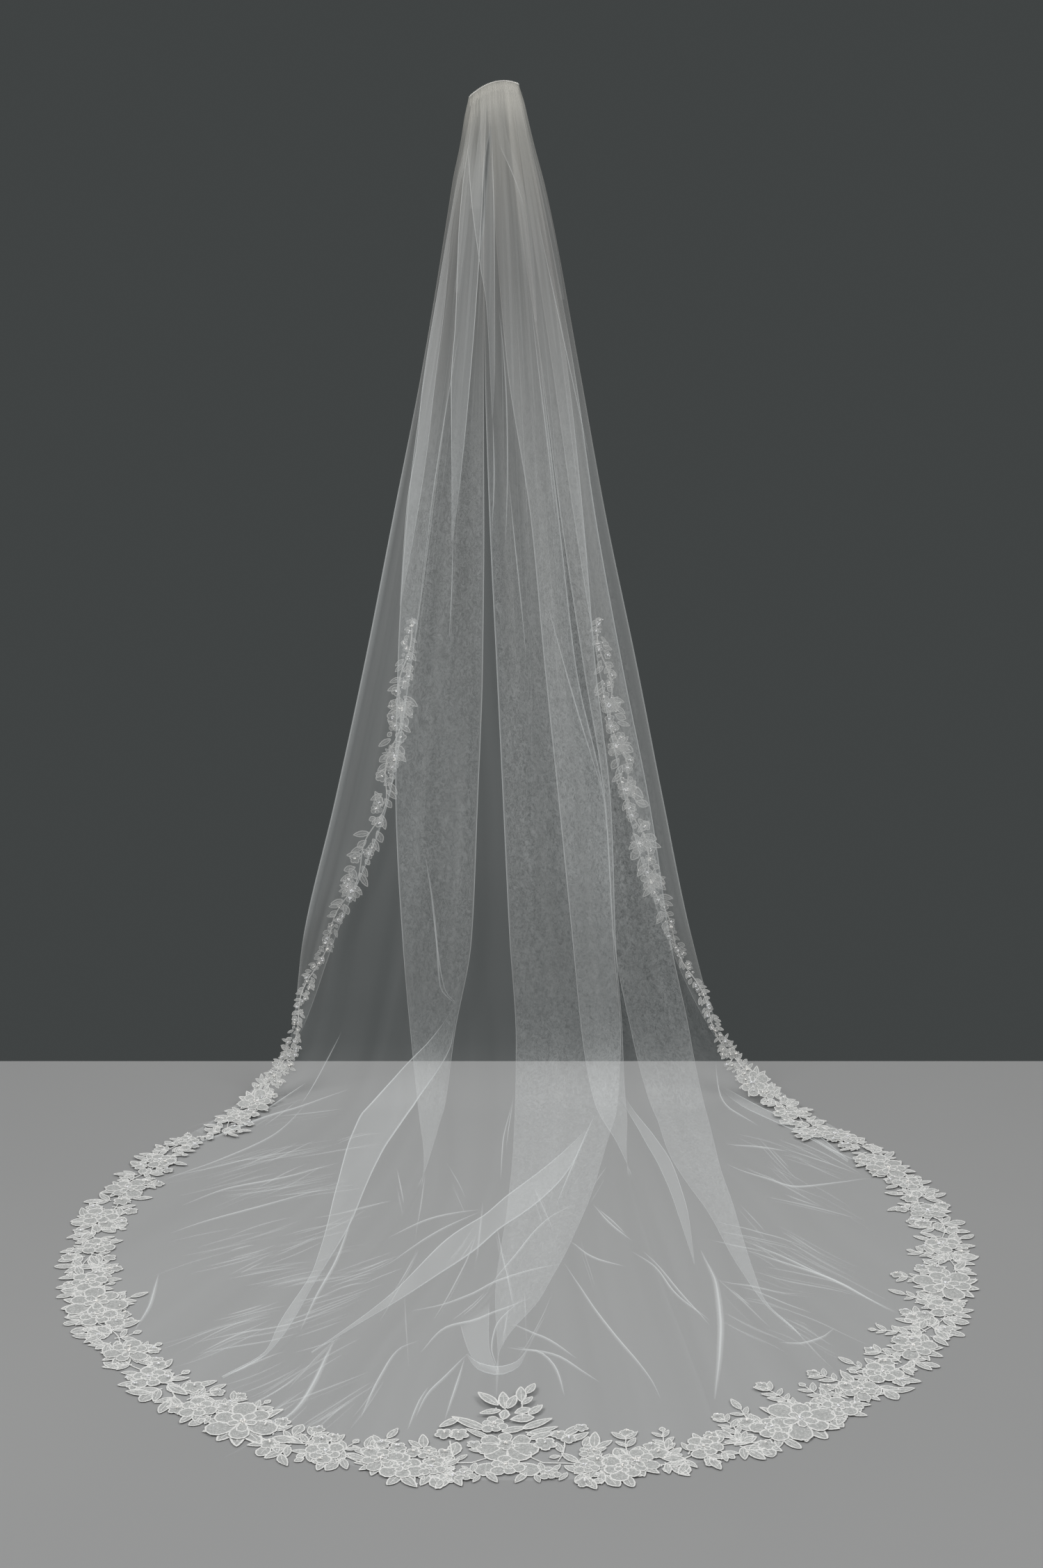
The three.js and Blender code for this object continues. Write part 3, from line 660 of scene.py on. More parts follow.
def crown_gap(x, s):
    """The thin dark slot between the middle gathers below the comb: the share of cloth left."""
    points = np.array(on_cloth(CROWN_GAP))
    middle = np.interp(s, points[:, 1], points[:, 0])
    t = np.clip((s - points[0, 1]) / (points[-1, 1] - points[0, 1]), 0, 1)
    wide = (1.2 + 2.6 * np.sin(math.pi * t)) * MM
    return 1 - 0.85 * np.exp(-((x - middle) / wide) ** 2) * smooth(0, 0.2, t) \
        * (1 - smooth(0.7, 1, t))


def tulle_sheet(shell):
    """The whole sheet: fuller where its folds crowd together, and pressed flat at the comb."""
    columns = sheet_columns()
    x, s, h, turned, place, over = (np.array([column[i] for column in columns]).T
                                    for i in range(6))
    x = x * mix(COMB_PINCH, 1, smooth(0, 0.03, s))
    wide = np.hypot(np.diff(x, axis=1), np.diff(h, axis=1))
    reference = np.maximum(np.max(wide, axis=0), 0.5 * MM)
    flat_across = np.concatenate([[0], np.cumsum(reference)])
    packed = reference / np.maximum(wide, 0.2 * MM)
    packed = np.concatenate([packed[:, :1], packed], axis=1)
    for _ in range(3):
        packed[:, 1:-1] = (packed[:, :-2] + packed[:, 1:-1] + packed[:, 2:]) / 3
    hanging = 1 - smooth(1.5, 1.7, s)
    fullness = 1 + (np.clip(packed, 1, MOST_PACKED) - 1) * hanging \
        + COMB_FULLNESS * (1 - smooth(0.01, 0.075, s))
    h = mix(COMB_PRESSED + 0.3 * h, h, smooth(0, 0.09, s))
    h = np.maximum(h + gathers(place[None, :], s) * (1 - turned) + ripple(x, s), TULLE / 2)
    fullness = fullness * crown_gap(x, s)
    edge = turned.copy()
    edge[:, 0] = edge[:, -1] = CUT_EDGE
    flat = np.stack([np.broadcast_to(flat_across, s.shape), s], axis=-1)
    shell.grid(on_sheet(x, s, h), flat, fullness=fullness, edge=edge, over=over)


def distances(points):
    """How far along a line each of its points is."""
    return np.concatenate([[0], np.cumsum(np.hypot(*np.diff(points, axis=0).T))])


def resampled(points, count):
    """Points spaced along a smooth line through the given ones."""
    points = np.array(points, float)
    keys = distances(points)
    where = np.linspace(0, keys[-1], count)
    if len(points) < 3:
        return np.stack([np.interp(where, keys, points[:, i]) for i in (0, 1)], axis=1)
    return np.stack([curve_through(keys, points[:, i])(where) for i in (0, 1)], axis=1)


def on_cloth(pixels):
    return [under_pixel(u, v) for u, v in pixels]


def top_height(x, s):
    return cloth_height(x, s, TOP) + ripple(x, s)


def side_normals(line):
    way = np.gradient(line, axis=0)
    way /= np.maximum(np.hypot(way[:, 0], way[:, 1]), 1e-9)[:, None]
    return np.stack([-way[:, 1], way[:, 0]], axis=1)


# Across a ridge: offset from its line, height and brightness
RIDGE = ((-1, -0.35, 0, 0.35, 1), (0, 0.55, 1, 0.55, 0), (0, 0.4, 1, 0.4, 0))
FINE_RIDGE = ((-0.75, 0, 0.75), (0, 1, 0), (0, 1, 0))


def crease(shell, points, wide, high=3 * MM, strength=0.85, step=0.012, fine=False):
    """A pinched ridge of cloth along a line, tapering to both ends."""
    count = max(8, int(distances(points)[-1] / step))
    line = resampled(points, count)
    taper = np.sin(math.pi * np.linspace(0.02, 0.98, count)) ** 0.6
    side = side_normals(line)
    offsets, rises, pinched = (np.outer(taper, row) for row in (FINE_RIDGE if fine else RIDGE))
    x, s = (line[:, i:i + 1] + side[:, i:i + 1] * wide * offsets for i in (0, 1))
    h = top_height(x, s) + 0.4 * MM + high * rises
    shell.grid(on_sheet(x, s, h), np.stack([x, s], axis=-1), fullness=0.1,
               edge=strength * pinched)


def pleat(shell, first, second, fullness, edge, lift=1.0 * MM, columns=9, step=0.016):
    """A flattened fold of cloth between two edge lines: two layers joined at both edges."""
    count = max(12, int(distances(first)[-1] / step))
    a, b = resampled(first, count), resampled(second, count)
    across = np.concatenate([[0, 0.04], np.linspace(0.12, 0.88, columns - 4), [0.96, 1]])
    ring = np.concatenate([across, across[::-1]])
    upper = np.concatenate([np.ones(columns), np.zeros(columns)])
    at_edge = np.where(np.minimum(ring, 1 - ring) < 1e-6, edge, 0)
    x = mix(a[:, None, 0], b[:, None, 0], ring[None, :])
    s = mix(a[:, None, 1], b[:, None, 1], ring[None, :])
    gap = np.hypot(*(b - a).T)
    puff = np.minimum(gap * 0.2, 3.5 * MM)[:, None] * np.sin(math.pi * ring)[None, :] ** 0.5
    h = top_height(x, s) + lift + upper * (1 * MM + puff)
    grown = smooth(-0.02, 0.16, np.linspace(0, 1, count))[:, None]
    amount = np.maximum(fullness * grown * crown_gap(x, s), 0.02)
    shell.grid(on_sheet(x, s, h), np.stack([x, s], axis=-1), round_trip=True,
               fullness=amount, edge=at_edge * grown)


# Folds on the hanging cloth, by the photograph's pixels: two edges of each narrow pleat
PLEATS = {
    "strip": ([(690, 140), (650, 330), (640, 440), (626, 552), (616, 640), (605, 715), (590, 800),
               (577, 868)],
              [(680, 140), (645, 330), (628, 430), (615, 507), (607, 565), (600, 640), (587, 715),
               (576, 866)]),
    "slim": ([(700, 140), (692, 330), (685, 440), (676, 552), (667, 647), (652, 775)],
             [(680, 140), (660, 330), (655, 465), (649, 552), (650, 665), (650, 775)]),
    "twist": ([(708, 200), (711, 300), (712, 440), (712, 520), (709, 600)],
              [(672, 200), (678, 290), (690, 377), (700, 440), (708, 600)]),
    "fallen_left": ([(655, 1445), (640, 1470), (518, 1606), (487, 1698), (453, 1825),
                     (400, 1910), (383, 1945), (319, 1981)],
                    [(656, 1446), (650, 1500), (598, 1590), (540, 1680), (500, 1770),
                     (453, 1850), (386, 1950), (321, 1984)]),
    "fallen_middle": ([(850, 1625), (820, 1655), (700, 1750), (635, 1795), (565, 1865),
                       (485, 1925), (448, 1950)],
                      [(851, 1628), (812, 1700), (700, 1790), (600, 1860), (500, 1920),
                       (449, 1952)]),
    "fallen_right": ([(892, 1585), (930, 1650), (965, 1720), (985, 1780), (998, 1820)],
                     [(896, 1575), (942, 1640), (975, 1700), (990, 1750), (999, 1820)]),
    "cusp": ([(670, 1953), (690, 1967), (717, 1973), (742, 1966), (757, 1950)],
             [(670, 1955), (688, 1976), (717, 1984), (746, 1973), (758, 1952)]),
    "turned_right": ([(1040, 1560), (1090, 1590), (1170, 1630), (1220, 1670)],
                     [(1040, 1568), (1086, 1602), (1166, 1640), (1219, 1673)]),
}

# The pouch of doubled cloth under the tip of the middle fold
POUCH = {"pouch": ([(662, 1912), (668, 1935), (676, 1955), (690, 1970)],
                   [(704, 1882), (703, 1920), (704, 1950), (716, 1980)])}

# Thin pleats that run down from the comb
CROWN_PLEATS = {
    "crown_left": ([(672, 152), (667, 210), (664, 300), (655, 420)],
                   [(680, 146), (677, 210), (674, 300), (660, 420)]),
    "crown_middle": ([(694, 134), (690, 180), (684, 230), (676, 300)],
                     [(706, 131), (705, 180), (698, 224), (693, 300)]),
    "crown_diagonal": ([(714, 150), (717, 200), (735, 243), (748, 290), (762, 380), (769, 460)],
                       [(722, 130), (727, 190), (743, 235), (757, 290), (768, 380), (772, 460)]),
    "crown_right": ([(742, 134), (757, 190), (775, 270), (792, 350), (806, 430)],
                    [(746, 134), (762, 190), (781, 270), (799, 350), (811, 430)]),
}

CROWN_GAP = [(707, 172), (701, 220), (696, 276), (692, 340), (690, 370)]

# Creases, by the photograph's pixels: width in millimetres and the line
CREASES = {
    "crown_streak": (1.2, [(716, 205), (735, 245), (746, 273), (754, 300)]),
    "right_line": (1.3, [(770, 300), (800, 440), (826, 560), (848, 660)]),
    "band_line": (1.3, [(764, 440), (778, 560), (790, 660), (800, 760)]),
    "left_line": (1.3, [(662, 470), (640, 600), (622, 720), (606, 850)]),
    "cusp_line": (2.2, [(748, 1880), (712, 1924), (707, 1950), (718, 1980)]),
    "horn_left": (3, [(673, 1953), (640, 1984), (614, 2010), (598, 2040)]),
    "horn_right": (3, [(730, 1949), (768, 1950), (800, 1974), (812, 2012)]),
    "horn_low": (2.5, [(742, 1946), (797, 1955), (842, 1978), (862, 1990)]),
    "sweep_high": (2.5, [(733, 1917), (784, 1933), (829, 1958)]),
    "sweep_left": (3, [(668, 1960), (660, 1985), (652, 2010), (640, 2045)]),
    "middle_upper": (2.5, [(854, 1741), (880, 1768), (909, 1789)]),
    "middle_lower": (2.5, [(909, 1805), (944, 1830), (970, 1862), (1021, 1904)]),
    "middle_cross": (2.2, [(819, 1795), (861, 1818), (899, 1827)]),
    "right_sweep": (2.5, [(1066, 1802), (1110, 1818), (1194, 1846), (1286, 1890)]),
    "right_hook": (2.5, [(1122, 1935), (1149, 1938), (1180, 1930), (1200, 1915)]),
    "right_high": (2, [(1045, 1652), (1090, 1655), (1135, 1660)]),
    "right_corner": (2.5, [(1165, 1635), (1195, 1655), (1235, 1672)]),
    "left_upper": (2, [(234, 1697), (312, 1672), (396, 1633), (441, 1582)]),
    "left_second": (2.2, [(262, 1734), (329, 1711), (424, 1694), (486, 1678)]),
    "left_third": (2, [(245, 1776), (312, 1756), (396, 1734), (470, 1712)]),
    "left_shadow": (3.5, [(432, 1918), (452, 1874), (486, 1812), (508, 1745)]),
    "left_edge_ridge": (4, [(194, 1913), (217, 1874), (228, 1834)]),
    "left_knee": (2.5, [(319, 1981), (345, 1972), (386, 1950)]),
    "front_curl": (3, [(519, 2041), (547, 1985), (575, 1946), (600, 1935)]),
    "front_curl_low": (2.5, [(586, 2058), (603, 2019), (617, 1997)]),
    "slim_tail": (1.4, [(652, 775), (650, 850), (646, 920)]),
    "twist_tail": (1.6, [(709, 600), (711, 680), (708, 760)]),
    "middle_line": (1.6, [(717, 440), (724, 502), (729, 590), (730, 665), (727, 790)]),
    "middle_branch": (1.4, [(732, 690), (739, 765), (749, 860), (757, 945)]),
    "band_diagonal": (1.8, [(786, 860), (805, 930), (833, 1027), (846, 1068), (867, 1134)]),
    "panel_inside": (2.6, [(612, 1225), (622, 1290), (628, 1350), (633, 1420), (659, 1450)]),
    "panel_second": (1.4, [(622, 1300), (630, 1370), (640, 1425), (660, 1448)]),
    "ridge_front": (6, [(1008, 1800), (1030, 1850), (1036, 1900), (1035, 1950), (1028, 2015)]),
    "ridge_middle": (3, [(812, 1828), (880, 1920), (935, 1985), (950, 2015)]),
    "ridge_left": (5, [(480, 1935), (440, 2010), (418, 2035), (380, 2055)]),
    "fall_middle": (2.5, [(855, 1610), (830, 1670), (800, 1740)]),
    "across_middle": (2.5, [(592, 1890), (635, 1881), (680, 1865), (730, 1847), (770, 1836),
                            (808, 1829)]),
    "fall_second": (2.5, [(700, 1865), (735, 1820), (790, 1760), (825, 1740)]),
    "under_pouch": (3, [(605, 1952), (642, 1915), (697, 1902), (730, 1891), (762, 1877)]),
    "beside_middle": (2, [(720, 1705), (723, 1655), (736, 1590)]),
    "beside_second": (1.6, [(728, 1660), (733, 1620), (738, 1580)]),
    "left_of_middle": (2, [(560, 1785), (625, 1757), (690, 1745)]),
    "left_of_middle_low": (2, [(560, 1822), (610, 1790), (690, 1748)]),
    "corner_left": (2.5, [(440, 1555), (405, 1580), (375, 1600)]),
    "edge_left": (3.5, [(500, 1565), (460, 1580), (390, 1605), (300, 1640), (240, 1660)]),
    "fall_left": (2, [(490, 1490), (450, 1560), (432, 1588)]),
    "corner_right": (2.5, [(1030, 1530), (1035, 1570), (1090, 1620)]),
    "edge_right": (2.5, [(1045, 1680), (1100, 1700), (1145, 1713), (1250, 1695)]),
    "front_right": (3, [(1070, 1790), (1180, 1840), (1290, 1890)]),
    "front_middle": (2.5, [(925, 1805), (950, 1830), (1020, 1910)]),
    "under_band": (2, [(860, 1745), (880, 1762), (900, 1780)]),
}

# Fans of fine wrinkles on the floor: where they start and end, by the photograph's pixels
FANS = {
    "left": dict(count=46, start=((400, 590), (1560, 1890)), reach=(-210, -80), drop=(22, 70)),
    "left_front": dict(count=12, start=((420, 560), (1880, 2010)), reach=(-150, -50),
                       drop=(40, 90)),
    "middle": dict(count=18, start=((560, 900), (1640, 1900)), reach=(-70, 50), drop=(50, 130)),
    "right": dict(count=30, start=((1000, 1130), (1620, 1900)), reach=(60, 170), drop=(22, 80)),
}

HANG_LINES = 38
COMB_PLEATS = 18


def wrinkle_fans(shell):
    """Bundles of two to four wrinkles side by side, some faint and some sharp."""
    for number, fan in enumerate(FANS.values()):
        draw = np.random.default_rng(SEEDS["wrinkles"] + number)
        (u0, u1), (v0, v1) = fan["start"]
        for _ in range(fan["count"]):
            u, v = draw.uniform(u0, u1), draw.uniform(v0, v1)
            du, dv = draw.uniform(*fan["reach"]), draw.uniform(*fan["drop"])
            for strand in range(draw.integers(2, 5)):
                first, last = draw.uniform(0, 0.35), draw.uniform(0.6, 1.15)
                aside = strand * draw.uniform(3, 10)
                sway = draw.uniform(-7, 7)
                line = [(u + du * t, v + aside + dv * t ** 0.9 + sway * math.sin(math.pi * t))
                        for t in np.linspace(first, last, 5)]
                crease(shell, on_cloth(line), draw.uniform(0.7, 2.2) * MM, 2 * MM,
                       0.07 + 0.42 * draw.random() ** 2 + (0 if strand else 0.08), fine=True)


def hang_lines(shell):
    """Fine long lines in the hanging cloth, fanned out from the comb."""
    draw = np.random.default_rng(SEEDS["lines"])
    for _ in range(HANG_LINES):
        share, start = draw.uniform(0.04, 0.96), draw.uniform(0.03, 0.7)
        s = np.linspace(start, start + draw.uniform(0.25, 0.8), 6)
        left, right = (ROUTES[fold]["x"](s) for fold in ("left_fold", "right_fold"))
        x = mix(left, right, share + 0.02 * np.sin(3 * s + 9 * share))
        crease(shell, np.stack([x, s], axis=1), draw.uniform(0.6, 1.1) * MM, 1.5 * MM,
               0.04 + 0.22 * draw.random() ** 2, step=0.025, fine=True)


def comb_pleats(shell):
    """Narrow gathers that run down from the comb and thin out at different lengths."""
    draw = np.random.default_rng(SEEDS["pleats"])
    for i in range(COMB_PLEATS):
        share = (i + 0.5) / COMB_PLEATS + draw.uniform(-0.018, 0.018)
        length = draw.uniform(0.16, 0.6)
        s = np.linspace(0.012, length, 7)
        left, right = (ROUTES[fold]["x"](s) for fold in ("left_fold", "right_fold"))
        wide = mix(3.2, 1.2, np.linspace(0, 1, 7)) * MM * draw.uniform(0.7, 1.3)
        drift = share + 0.05 * (share - 0.5) * s
        middle = mix(left + 2 * MM, right - 2 * MM, np.clip(drift, 0.01, 0.99))
        wide[-1] = 0.2 * MM
        pleat(shell, np.stack([middle - wide, s], axis=1), np.stack([middle + wide, s], axis=1),
              lift=(0.4 + 0.8 * draw.random()) * MM, fullness=0.4, edge=0.13, columns=6,
              step=0.022)


def tulle_veil(material):
    shell = Shell("fullness", "edge", "over")
    tulle_sheet(shell)
    for pleats, fullness, edge in ((PLEATS, 1.0, 1.0), (CROWN_PLEATS, 0.45, 0.35),
                                   (POUCH, 0.9, 0.25)):
        for first, second in pleats.values():
            pleat(shell, on_cloth(first), on_cloth(second), fullness=fullness, edge=edge)
    comb_pleats(shell)
    for wide, line in CREASES.values():
        crease(shell, on_cloth(line), wide * MM)
    hang_lines(shell)
    wrinkle_fans(shell)
    made = piece(shell, "tulle_sheet", material, "tulle", "tulle_veil")
    made.visible_shadow = False
    made.visible_diffuse = False


# The comb, its binding and the gathered heading
def tube(shell, line, radius, sides=8):
    """A round bar along points in space, closed at both ends."""
    line = np.array(line, float)
    way = np.gradient(line, axis=0)
    way /= np.linalg.norm(way, axis=1)[:, None]
    up = np.where(np.abs(way[:, 1:2]) > 0.9, [[1.0, 0, 0]], [[0, 1.0, 0]])
    a = np.cross(way, up)
    a /= np.linalg.norm(a, axis=1)[:, None]
    b = np.cross(way, a)
    radius = np.broadcast_to(radius, (len(line),))
    turn = np.linspace(0, 2 * math.pi, sides, endpoint=False)
    around = turn[None, :, None]
    ring = a[:, None, :] * np.cos(around) + b[:, None, :] * np.sin(around)
    points = line[:, None, :] + ring * radius[:, None, None]
    shell.grid(points, round_trip=True, capped=True)


def arc_points(count, drop=0.0, y=0.0, inset=0.0):
    x = np.linspace(-COMB_WIDTH / 2 + inset, COMB_WIDTH / 2 - inset, count)
    return np.stack([x, np.full(count, y), comb_rise(x) - drop], axis=1)


def hair_comb(material):
    shell = Shell()
    for drop in COMB_RAILS:
        tube(shell, arc_points(24, drop, COMB_BACK, 2 * MM), WIRE)
    pitch = (COMB_WIDTH - 6 * MM) / TEETH
    for i in range(TEETH):
        x = -COMB_WIDTH / 2 + 3 * MM + (i + 0.225) * pitch
        top = comb_rise(x) - MM
        down = np.linspace(0, 1, 12)
        line = np.stack([np.full(12, x), COMB_BACK - 0.5 * MM * np.sin(math.pi * down),
                         top - (COMB_BAR + COMB_TOOTH - MM) * down], axis=1)
        tube(shell, line, mix(0.8, 0.35, smooth(0.7, 1, down)) * MM)
    piece(shell, "wire_comb", material, "comb_metal", "comb")


def thread_binding(material):
    """A roll closely wrapped with thread, whose turns show as small bumps along the top."""
    count = BINDING_WRAPS * 6
    line = arc_points(count, 2.1 * MM, BINDING_MIDDLE)
    phase = np.linspace(0, BINDING_WRAPS * 2 * math.pi, count)
    swell = 1 + 0.26 * np.cos(phase) + 0.04 * np.sin(phase * 0.37)
    ends = np.sqrt(np.clip(1 - np.abs(np.linspace(-1, 1, count)) ** 40, 0.05, 1))
    turn = np.linspace(0, 2 * math.pi, 22, endpoint=False)
    y = line[:, 1:2] + BINDING_DEEP / 2 * 0.8 * np.cos(turn)[None, :] * (swell * ends)[:, None]
    z = line[:, 2:3] + BINDING_HIGH / 2 * 0.85 * np.sin(turn)[None, :] * (swell * ends)[:, None]
    points = np.stack([np.broadcast_to(line[:, :1], y.shape), y, z], axis=-1)
    shell = Shell()
    flat = np.stack(np.broadcast_arrays(line[:, :1], turn[None, :] * 2 * MM), axis=-1)
    shell.grid(points, flat, round_trip=True, capped=True)
    piece(shell, "thread_binding", material, "heading", "comb_binding")


def gathered_heading(material):
    """Two rows of tight pleats stitched down below the binding, opening towards the tulle."""
    shell = Shell()
    columns = 521
    x = np.linspace(-COMB_WIDTH / 2 + MM, COMB_WIDTH / 2 - MM, columns)
    down = np.linspace(0, 1, 10)
    place = np.linspace(0, 1, columns)
    fold = np.sin(2 * math.pi * HEADING_PLEATS * place + 2.2 * np.sin(19 * place))
    depth = (HEADING_DEEP / 2 - 1.4 * MM) * mix(0.4, 1.0, down)[:, None] * fold[None, :]
    hem = 1 + 0.15 * np.sin(2 * math.pi * 17 * place)
    z = comb_rise(x)[None, :] - 2 * CLEAR - HEADING_HIGH * down[:, None] * hem[None, :]
    y = -HEADING_DEEP / 2 + depth
    points = np.stack(np.broadcast_arrays(x[None, :], y, z), axis=-1)
    flat = np.stack(np.broadcast_arrays(place[None, :] * HEADING_FLAT,
                                        down[:, None] * HEADING_HIGH), axis=-1)
    shell.grid(points, flat)
    piece(shell, "heading_pleats", material, "heading", "gathered_heading")


# The lace, laid out flat along the veil's edge and then carried on to the cloth
def ring_outline(count, shape):
    turn = np.linspace(0, 2 * math.pi, count, endpoint=False)
    return np.stack(shape(turn), axis=1)


def circle(count, radius):
    return ring_outline(count, lambda turn: (radius * np.cos(turn), radius * np.sin(turn)))


OUTLINE_CORD, PETAL_CORD = 1.0 * MM, 1.25 * MM
RIB_CORD, STEM_CORD = 0.5 * MM, 1.2 * MM


def corded(shell, line, cord, dome=0.8 * MM, middle=None):
    """A closed outline in raised cord round a thin embroidered filling."""
    count = len(line)
    side = side_normals(np.concatenate([line[-1:], line, line[:1]]))[1:-1]
    ring = np.stack([np.column_stack([line + side * cord * a, np.full(count, cord * b)])
                     for a, b in ((-1, 0), (0, 1), (1, 0))], axis=1)
    shell.grid(np.concatenate([ring, ring[:1]]), cord=1.0)
    centre = np.mean(line, axis=0) if middle is None else np.array(middle)
    points = np.concatenate([np.column_stack([line, np.zeros(count)]), [[*centre, dome]]])
    shell.add(points, [(i, (i + 1) % count, count) for i in range(count)], cord=0.0)


def stem_line(shell, points, cord, count):
    """A raised cord along a line, thinner towards its end."""
    line = resampled(points, count)
    side = side_normals(line)
    taper = mix(1.0, 0.6, np.linspace(0, 1, len(line)))[:, None]
    rows = np.stack([np.concatenate([line + side * cord * a * taper,
                                     np.full((len(line), 1), 0.5 * MM + cord * b)], axis=1)
                     for a, b in ((-1, 0), (0, 1), (1, 0))], axis=1)
    shell.grid(rows, cord=1.0)


def leaf_mesh(kind, wide, belly=0.45, count=14):
    """A pointed leaf from its root at the origin, along x."""
    shell, length = Shell("cord"), LENGTHS[kind]

    def shape(turn):
        share = (1 - np.cos(turn)) / 2
        body = np.sin(math.pi * share ** (math.log(0.5) / math.log(belly))) ** 0.85
        return length * share, wide / 2 * body * np.sign(np.sin(turn) + 1e-12)

    corded(shell, ring_outline(count, shape), OUTLINE_CORD, middle=(length * 0.45, 0))
    stem_line(shell, [(length * 0.06, 0), (length * 0.8, 0)], 0.6 * MM, 3)
    return shell.mesh(MOTIFS[kind])


def add_turned(shell, part, turn, at=(0, 0, 0)):
    """Adds a part's faces, turned round the origin and then moved."""
    c, s = math.cos(turn), math.sin(turn)
    points = np.concatenate(part.points) @ np.array([[c, s, 0], [-s, c, 0], [0, 0, 1]])
    shell.add(points + np.array(at), part.faces, cord=np.concatenate(part.values["cord"]))


def petal(size, wide, count=12):
    """A rounded petal, narrow at its root at the origin, with two ribs of satin stitch."""
    part = Shell("cord")

    def shape(turn):
        share = (1 - np.cos(turn)) / 2
        return size * (0.06 + 0.94 * share), wide / 2 * np.sin(turn) * (0.5 + 0.75 * share)

    corded(part, ring_outline(count, shape), PETAL_CORD, dome=1.5 * MM, middle=(size * 0.5, 0))
    for spread in (-0.17, 0.17):
        stem_line(part, [(size * 0.2, 0), (size * 0.74, wide * spread)], RIB_CORD, 3)
    return part


def flower_mesh(kind, radius, wide=0.68, inner=0.48):
    """An open flower: a ring of petals, a smaller ring on it and a heart of knots."""
    shell = Shell("cord")
    for ring, (size, lift) in enumerate(((radius, 0), (radius * inner, 1.4))):
        for i in range(PETALS - ring):
            turn = 2 * math.pi * (i + 0.5 * ring) / (PETALS - ring) + 0.12 * math.sin(5 * i)
            reach = size * (1 + 0.14 * math.sin(3.1 * i + 1))
            part = petal(reach, reach * wide, 12 if ring == 0 else 8)
            add_turned(shell, part, turn, (0, 0, (lift + 0.6 * (i % 2)) * MM))
    for place in circle(4, radius * 0.09):
        knot = Shell("cord")
        corded(knot, circle(6, 2.0 * MM), 0.8 * MM, dome=1.6 * MM)
        add_turned(shell, knot, 0, (*place, 2.8 * MM))
    return shell.mesh(MOTIFS[kind])


def blossom_mesh(kind, lobes, radius):
    """A small flower cut in one piece, with a corded outline in lobes and a knot."""
    shell = Shell("cord")

    def shape(turn):
        reach = radius * (0.7 + 0.3 * np.abs(np.cos(lobes * turn / 2)))
        return reach * np.cos(turn), reach * np.sin(turn)

    corded(shell, ring_outline(lobes * 4, shape), OUTLINE_CORD)
    corded(shell, circle(5, radius * 0.22), 0.7 * MM, dome=2.0 * MM)
    return shell.mesh(MOTIFS[kind])


# The motifs by number, and the lengths of the leaves in metres
MOTIFS = ["motif_0_leaf", "motif_1_broad_leaf", "motif_2_bud", "motif_3_flower",
          "motif_4_blossom", "motif_5_long_leaf", "motif_6_rose", "motif_7_petal"]
LEAF, BROAD, BUD, FLOWER, BLOSSOM, LONG, ROSE, PETAL = range(8)
LENGTHS = {LEAF: 34 * MM, BROAD: 30 * MM, BUD: 14 * MM, LONG: 50 * MM, PETAL: 40 * MM}
PETALS = 6


def lace_motifs(material):
    """Each motif at its full size, in a collection that the layout picks from."""
    made = bpy.data.collections.new("lace motifs")
    meshes = [
        leaf_mesh(LEAF, 13 * MM),
        leaf_mesh(BROAD, 17 * MM, belly=0.55),
        leaf_mesh(BUD, 11 * MM, belly=0.5, count=8),
        flower_mesh(FLOWER, 44 * MM),
        blossom_mesh(BLOSSOM, 5, 12 * MM),
        leaf_mesh(LONG, 14 * MM, belly=0.4),
        flower_mesh(ROSE, 28 * MM, wide=0.8, inner=0.42),
        petal(LENGTHS[PETAL], 32 * MM).mesh(MOTIFS[PETAL]),
    ]
    for mesh in meshes:
        mesh.materials.append(material)
        made.objects.link(bpy.data.objects.new(mesh.name, mesh))
    return made


# What each place of a motif holds
PLACE_VALUES = (("turn", "FLOAT_VECTOR", "vector"), ("size", "FLOAT_VECTOR", "vector"),
                ("kind", "INT", "value"))


def layout_tree(material):
    """Sets motifs on points, each turned, sized and picked by the point's own values."""
    tree = bpy.data.node_groups.new("lace layout", "GeometryNodeTree")
    for name, kind in (("Places", "Geometry"), ("Motifs", "Collection"), ("Size", "Float")):
        tree.interface.new_socket(name, in_out="INPUT", socket_type="NodeSocket" + kind)
    tree.interface.new_socket("Lace", in_out="OUTPUT", socket_type="NodeSocketGeometry")

    def node(kind, settings=None, inputs=None):
        made = tree.nodes.new(kind)
        for setting, value in (settings or {}).items():
            setattr(made, setting, value)
        for key, value in (inputs or {}).items():
            if isinstance(value, bpy.types.NodeSocket):
                tree.links.new(value, made.inputs[key])
            else:
                made.inputs[key].default_value = value
        return made

    given = node("NodeGroupInput")
    turn, size, kind = (node("GeometryNodeInputNamedAttribute", {"data_type": form},
                             {"Name": name}).outputs[0] for name, form, _ in PLACE_VALUES)
    rotation = node("FunctionNodeEulerToRotation", {}, {0: turn})
    scale = node("ShaderNodeVectorMath", {"operation": "SCALE"},
                 {0: size, "Scale": given.outputs["Size"]})
    motifs = node("GeometryNodeCollectionInfo", {},
                  {"Collection": given.outputs["Motifs"], "Separate Children": True,
                   "Reset Children": True})
    laid = node("GeometryNodeInstanceOnPoints", {},
                {"Points": given.outputs["Places"], "Instance": motifs.outputs[0],
                 "Pick Instance": True, "Instance Index": kind,
                 "Rotation": rotation.outputs[0], "Scale": scale.outputs[0]})
    real = node("GeometryNodeRealizeInstances", {}, {0: laid.outputs[0]})
    finished = node("GeometryNodeSetMaterial", {}, {"Geometry": real.outputs[0],
                                                    "Material": material})
    node("NodeGroupOutput", {}, {0: finished.outputs[0]})
    return tree


